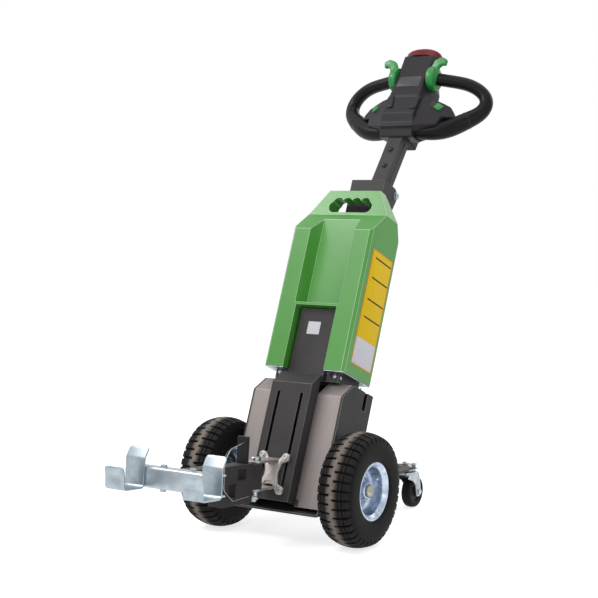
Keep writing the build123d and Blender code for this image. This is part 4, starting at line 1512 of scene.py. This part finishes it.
    def rockers(self) -> None:
        """The push buttons at the wings' upper edges: a green rocker in a dark well each side."""
        wells = Form(TILLER)
        caps = Form(TILLER)
        turn = math.radians(self.wing_turn)
        x, forward, up = self.rocker_at
        well = round_outline([(-23, -9), (-20, 15), (19, 7), (12, -14)], 4.0)
        cap = round_outline([(-12, -7), (-4, 12), (15, 3.5), (4, -13)], 3.5)

        def on_wing(way: int, foot: float) -> Callable[[Array], Array]:
            """How a plate is placed on a wing's turned face.

            Args:
                way: -1 for the left wing and 1 for the right one.
                foot: how far the plate's inner face stands above the wing's.

            Returns:
                A function that turns rows of (across, up, out) into local millimetres.
            """
            def place(points: Array) -> Array:
                """Turn each row by the wing's turn and move it to the rocker's place.

                Args:
                    points: rows of (across, up, out) on the wing's face.

                Returns:
                    The rows in local millimetres.
                """
                out = points[..., 2] + foot
                across = x + points[..., 0] * math.cos(turn) + out * math.sin(turn)
                ahead = forward - points[..., 0] * math.sin(turn) + out * math.cos(turn)
                return np.stack((way * across, -ahead, up + points[..., 1]), -1)

            return place

        for _, way in SIDES:
            plate_form(wells, well, 4.0, on_wing(way, -3.0), 1.2)
            plate_form(caps, cap, 12.0, on_wing(way, -7.5), 2.4)
        wells.build("rocker_wells", Coat.BLACK_BOLT, "tiller", "black_shell")
        caps.build("rocker_caps", Coat.GREEN_CONTROL, "tiller", "green_control")

    def strip(self) -> None:
        """The blank strip across the pod's front, and the two small raised marks below it."""
        form = Form(TILLER)
        corners = [(-33.5, 312.5), (34.0, 312.5), (32.0, 346.0), (-31.0, 346.0)]
        plate_form(form, round_outline(corners, 3.0), 1.4, Facing.FRONT.at(self.strip_face), 0.5)
        form.build("blank_strip", Coat.STRIP, "tiller", "black_shell")
        marks = Form(TILLER)
        lobe = round_outline([(-37.0, 240.0), (-20.0, 242.0), (-27.0, 281.0), (-37.0, 284.0)], 4.0)
        plate_form(marks, lobe, 4.0, Facing.FRONT.at(self.marks_face + 0.5), 1.6)
        oval = np.stack(circle(36), -1) * (11.0, 5.5) + (38.0, 242.0)
        plate_form(marks, oval, 4.0, Facing.FRONT.at(self.marks_face), 1.8)
        marks.build("head_marks", Coat.BLACK_SHELL, "tiller", "black_shell")

    def heel(self) -> None:
        """The small housing behind the tube, its edges rounded."""
        softened("heel_block", Coat.BLACK_SHELL, "tiller", 4.0, 4)

    def build(self) -> None:
        """Make the tiller's pieces."""
        self.tube()
        self.housing()
        self.grip()
        self.button()
        for side, way in SIDES:
            self.thumb_wing(side, way)
        self.rockers()
        self.strip()
        self.heel()


@dataclass
class Coupling:
    """The cast clevis on the channel, the black arm, the plated bar and the two towing hooks."""

    channel_front: float = 74.5
    spread: float = 31.0
    rise: float = 39.0
    plate: float = 9.0
    arm_outline: tuple = ((18.0, 5.0), (23.0, 24.0), (40.0, 31.0), (39.5, 47.0), (25.0, 47.8), (9.0, 26.0))
    boss_outline: tuple = ((16.0, 8.0), (25.0, 30.0), (17.0, 33.0), (8.0, 20.0))
    jaw_foot: float = -24.0
    jaw_top: float = 44.0
    jaw_plate: float = 6.0
    jaw_radius: float = 16.0
    lower_jaw: float = 60.0
    upper_jaw: float = 79.0
    bar_front: float = 300.0
    bar_half: float = 112.0
    bar_low: float = 2.0
    bar_high: float = 47.0
    bar_sheet: float = 3.0
    bar_bend: float = 4.5
    bar_flange: float = 28.0
    bar_bolt: float = 37.0
    bar_bolt_back: float = 15.0
    hook_spread: float = 99.0
    hook_width: float = 50.0
    hook_sheet: float = 4.0
    hook_depth: float = 68.0
    hook_back: float = 62.0
    hook_bends: tuple = (0, 9.0, 8.0, 8.0, 12.0, 0)
    hook_corner: float = 7.0
    lip_rise: float = 22.0
    lip_back: float = 13.0
    tab: float = 24.0
    flare: float = 5.0
    wire_radius: float = 0.9
    wire_bend: float = 14.0
    wire_line: tuple = ((6.0, -54.0, 88.0), (19.5, -84.0, 89.0), (20.5, -128.0, 80.0),
                        (20.5, -149.0, 55.0), (20.5, -148.0, -8.0), (20.0, -112.0, -34.0),
                        (18.0, -50.0, -30.0), (10.5, -4.0, -36.0))

    def clevis(self) -> None:
        """The casting: a four-armed plate with a raised middle, eyes, and two jaws to the pin."""
        form = Form(BODY)
        face = self.channel_front
        ring = round_outline(mirrored_ring(self.arm_outline), 6.0, 5)
        plate_form(form, ring, self.plate, Facing.FRONT.at(face), 2.6)
        boss = round_outline(mirrored_ring(self.boss_outline), 4.0)
        plate_form(form, boss, 4.5, Facing.FRONT.at(face + self.plate - 1.5), 2.4)
        eyes = [(x, z) for x in (-self.spread, self.spread) for z in (-self.rise, self.rise)]
        rim = [(0, 5.0), (0, 9.0), (1.6, 8.6), (2.6, 7.4), (2.6, 5.0)]
        for x, z in eyes:
            form.grid(turned(rim, (x, -face - self.plate, z), (0, -1, 0), 32), closed_rows=True)
        form.build("clevis_plate", Coat.CASTING, "chassis", "cast_aluminium", ["spider"])
        jaws = Form(COUPLING)
        r = self.jaw_radius
        arc = np.linspace(math.pi, 2 * math.pi, 19)
        nose = np.stack((r * np.cos(arc), r * np.sin(arc)), -1)
        for foot, back in ((self.jaw_foot, self.lower_jaw), (self.jaw_top - self.jaw_plate, self.upper_jaw)):
            sides = np.array(((r * 0.8, back * 0.5), (r, back), (-r, back), (-r * 0.8, back * 0.5)))
            plate_form(jaws, np.concatenate((nose, sides)), self.jaw_plate, Facing.TOP.at(foot), 1.6)
        jaws.build("clevis_jaws", Coat.CASTING, "chassis", "cast_aluminium")
        bolts = Form(BODY)
        for x, z in eyes:
            screw(bolts, Head.SOCKET, (x, -face - self.plate - 0.6, z), (0, -1, 0), 5.4, 4.6)
        screw(bolts, Head.DOME, (11.0, 9.0 - face, 5.6), (0, -1, 0), 4.6, 3.4)
        bolts.build("clevis_bolts", Coat.BOLT, "chassis", "cast_aluminium")

    def pin(self) -> None:
        """The pin: chamfered head above the upper jaw, and the turned sleeve nut below the lower one."""
        foot, top = self.jaw_foot, self.jaw_top
        section = [(foot - 24, 0), (foot - 24, 5.6), (foot - 23, 7.0), (foot - 19, 7.2), (foot - 18.4, 10.6),
                   (foot - 17, 11.5), (foot - 1.5, 11.5), (foot, 10.6), (foot, 8.0), (top, 8.0), (top, 11.2),
                   (top + 1, 12.0), (top + 6.4, 12.0), (top + 7.7, 10.8), (top + 8.0, 6.0), (top + 8.0, 0)]
        form = Form(COUPLING).grid(turned(section, (0, 0, 0), (0, 0, 1), 48))
        form.build("pin_turned", Coat.ZINC_BRIGHT, "chassis", "zinc_plate", ["coupling_pin"])

    def arm(self) -> None:
        """The arm, the lever plate and the bolts through the bar."""
        softened("coupling_arm", Coat.BLACK_STEEL, "coupling", 1.2)
        # the lever plate takes the darker copy of the black coat as painted shade
        softened("lock_lever", Coat.SHADED_SIDE_STEEL, "coupling", 2.0, 4)
        form = Form(COUPLING)
        back = self.bar_bolt_back - self.bar_front
        for x in (-self.bar_bolt, self.bar_bolt):
            screw(form, Head.HEX, (x, back, self.bar_high), (0, 0, 1), 6.0, 5.6)
            screw(form, Head.HEX, (x, back, self.bar_low), (0, 0, -1), 6.0, 5.6)
        form.build("bar_bolts", Coat.ZINC_BRIGHT, "coupling", "zinc_plate")

    def bar(self) -> None:
        """The plated channel across the arm's end, folded along its top and its foot."""
        face, back = -self.bar_front, self.bar_flange - self.bar_front
        line = [(back, self.bar_low), (face, self.bar_low), (face, self.bar_high), (back, self.bar_high)]
        grid = bent_sheet(moved_line(line, -self.bar_sheet / 2), (0, self.bar_bend, self.bar_bend, 0),
                          self.bar_sheet, 0.0, 2 * self.bar_half - 0.6, edge=0.8)
        form = Form(COUPLING).grid(grid, caps=True)
        form.build("bar_folded", Coat.ZINC, "coupling", "zinc_plate", ["cross_bar"])

    def hook(self, side: str, way: int) -> None:
        """A towing hook: one strip folded into lip, back plate, floor and flared tab, its corners rounded.

        Args:
            side: left or right.
            way: -1 for the left and 1 for the right.
        """
        back, front = -self.bar_front, -self.bar_front - self.hook_depth
        line = [(front - self.flare, 2 * self.tab), (front, self.tab), (front, 0), (back, 0),
                (back, self.hook_back), (back + self.lip_back, self.hook_back + self.lip_rise)]
        grid = bent_sheet(moved_line(line, self.hook_sheet / 2), self.hook_bends, self.hook_sheet,
                          way * self.hook_spread, self.hook_width, self.hook_corner, 0.9)
        form = Form(COUPLING).grid(grid, caps=True)
        form.build(f"hook_folded_{side}", Coat.ZINC_BRIGHT, "coupling", "zinc_plate", [f"hook_{side}"])

    def bail(self) -> None:
        """The wire safety bail beside the pin, from the lever's foot round to the sleeve nut."""
        points = np.array(self.wire_line)
        path = spaced(rounded_corners(points, np.full(len(points), self.wire_bend), 6), 70)
        form = Form(COUPLING).grid(carried(path, self.wire_radius, 10), caps=True)
        form.build("safety_bail", Coat.HUB_METAL, "coupling", "zinc_plate")

    def build(self) -> None:
        """Make the coupling's pieces."""
        self.clevis()
        self.pin()
        self.arm()
        self.bar()
        for side, way in SIDES:
            self.hook(side, way)
        self.bail()


class Backdrop(Enum):
    """What a ray may be, on its way to the white surround."""

    CAMERA = "Is Camera Ray"
    GLOSSY = "Is Glossy Ray"
    TRANSMISSION = "Is Transmission Ray"


@dataclass
class Studio:
    """The camera, the soft lamps, the white surround and the pale floor."""

    azimuth: float = 32.30
    elevation: float = 4.50
    roll: float = 0.26
    focal_px: float = 1405.95
    frame_px: float = 598.0
    sensor_mm: float = 36.0
    eye: Point = (1733.44, -2702.85, 803.23)
    fill: float = 0.44
    floor_lift: float = 0.72
    lamps: tuple = (("key", (-0.85, -2.1, 2.75), 1.3, 30.0), ("side", (2.9, -1.5, 1.4), 1.6, 10.5),
                    ("rear", (0.6, 2.6, 2.2), 1.6, 15.0), ("top", (0.3, 0.3, 3.2), 1.6, 14.0))
    card: tuple = ("gloss_card", (-1.7, -0.8, 2.7), 0.9, 36.0)
    aim_height: float = 0.5
    floor_half: float = 8.0

    def stand(self, thing: bpy.types.Object, right: Array, up: Array, back: Array,
              at: Sequence[float]) -> None:
        """Link a camera or lamp into the scene and stand it up.

        Args:
            thing: the camera or lamp, which looks against its back.
            right: its right side's direction.
            up: its upper side's direction.
            back: its back's direction.
            at: its place in metres.
        """
        rows = np.eye(4)
        rows[:3, 0], rows[:3, 1], rows[:3, 2], rows[:3, 3] = right, up, back, at
        thing.matrix_world = Matrix(rows.tolist())
        bpy.context.scene.collection.objects.link(thing)

    def camera(self) -> None:
        """The camera: its back, right and up axes come from azimuth, elevation and roll."""
        a, e, r = (math.radians(angle) for angle in (self.azimuth, self.elevation, self.roll))
        back = np.array((math.sin(a) * math.cos(e), -math.cos(a) * math.cos(e), math.sin(e)))
        right = np.array((math.cos(a), math.sin(a), 0.0))
        up = np.cross(back, right)
        data = bpy.data.cameras.new("camera")
        data.sensor_width = self.sensor_mm
        data.lens = self.focal_px / self.frame_px * self.sensor_mm
        camera = bpy.data.objects.new("camera", data)
        self.stand(camera, math.cos(r) * right + math.sin(r) * up, math.cos(r) * up - math.sin(r) * right,
                   back, FLOOR.world(self.eye))
        bpy.context.scene.camera = camera

    def lights(self) -> None:
        """Broad square lamps that face the tractor's middle, and a card that shows in gloss alone."""
        for name, place, size, power in (*self.lamps, self.card):
            data = bpy.data.lights.new(name, "AREA")
            data.size = size
            data.energy = power
            lamp = bpy.data.objects.new(name, data)
            away = np.array(place) - (0, 0, self.aim_height)
            away /= np.linalg.norm(away)
            side = np.cross((0, 0, 1.0), away)
            side = side / np.linalg.norm(side)
            self.stand(lamp, side, np.cross(away, side), away, place)
            lamp.visible_diffuse = name != self.card[0]

    def seen(self, tree: bpy.types.NodeTree) -> bpy.types.NodeSocket:
        """One where a ray comes from the camera, a gloss or a glass, and nought elsewhere.

        Args:
            tree: the node tree of the world or the floor.

        Returns:
            The socket that gives it.
        """
        path = add_node(tree, "ShaderNodeLightPath")
        total = path.outputs[Backdrop.CAMERA.value]
        for ray in (Backdrop.GLOSSY, Backdrop.TRANSMISSION):
            total = add_node(tree, "ShaderNodeMath", {0: total, 1: path.outputs[ray.value]},
                             operation="MAXIMUM").outputs["Value"]
        return total

    def surround(self) -> None:
        """A world that is white to the camera and in gloss, and an even fill to the object."""
        world = bpy.data.worlds.new("surround")
        world.use_nodes = True
        tree = world.node_tree
        tree.nodes.clear()
        fill = add_node(tree, "ShaderNodeBackground", {"Color": linear("#F4F6F8"), "Strength": self.fill})
        white = add_node(tree, "ShaderNodeBackground", {"Color": (1, 1, 1, 1), "Strength": 1.0})
        mix = add_node(tree, "ShaderNodeMixShader", {0: self.seen(tree), 1: fill.outputs["Background"],
                                                     2: white.outputs["Background"]})
        add_node(tree, "ShaderNodeOutputWorld", {"Surface": mix.outputs["Shader"]})
        bpy.context.scene.world = world

    def floor(self) -> None:
        """A wide pale floor that keeps the tractor's shadow."""
        material = bpy.data.materials.new("studio_floor")
        material.use_nodes = True
        tree = material.node_tree
        tree.nodes.clear()
        paper = add_node(tree, "ShaderNodeBsdfDiffuse", {"Color": linear("#F0F0F0")})
        glow = add_node(tree, "ShaderNodeMath", {0: self.seen(tree), 1: self.floor_lift},
                        operation="MULTIPLY")
        lift = add_node(tree, "ShaderNodeEmission", {"Strength": glow.outputs["Value"]})
        both = add_node(tree, "ShaderNodeAddShader", {0: paper.outputs["BSDF"], 1: lift.outputs["Emission"]})
        add_node(tree, "ShaderNodeOutputMaterial", {"Surface": both.outputs["Shader"]})
        mesh = bpy.data.meshes.new("floor")
        far = self.floor_half
        mesh.from_pydata([(-far, -far, 0), (far, -far, 0), (far, far, 0), (-far, far, 0)], [], [(0, 1, 2, 3)])
        mesh.materials.append(material)
        floor = bpy.data.objects.new("floor", mesh)
        bpy.context.scene.collection.objects.link(floor)

    def build(self) -> None:
        """Set the view and the studio."""
        bpy.context.scene.view_settings.view_transform = "Standard"
        self.camera()
        self.lights()
        self.surround()
        self.floor()


def main() -> None:
    """Build the studio and each sub-assembly in order."""
    Studio().build()
    Chassis().build()
    Pack().build()
    Tiller().build()
    Coupling().build()
    for side, way in SIDES:
        DriveWheel(side, way).build()
        Castor(side).build()


if __name__ == "__main__":
    main()
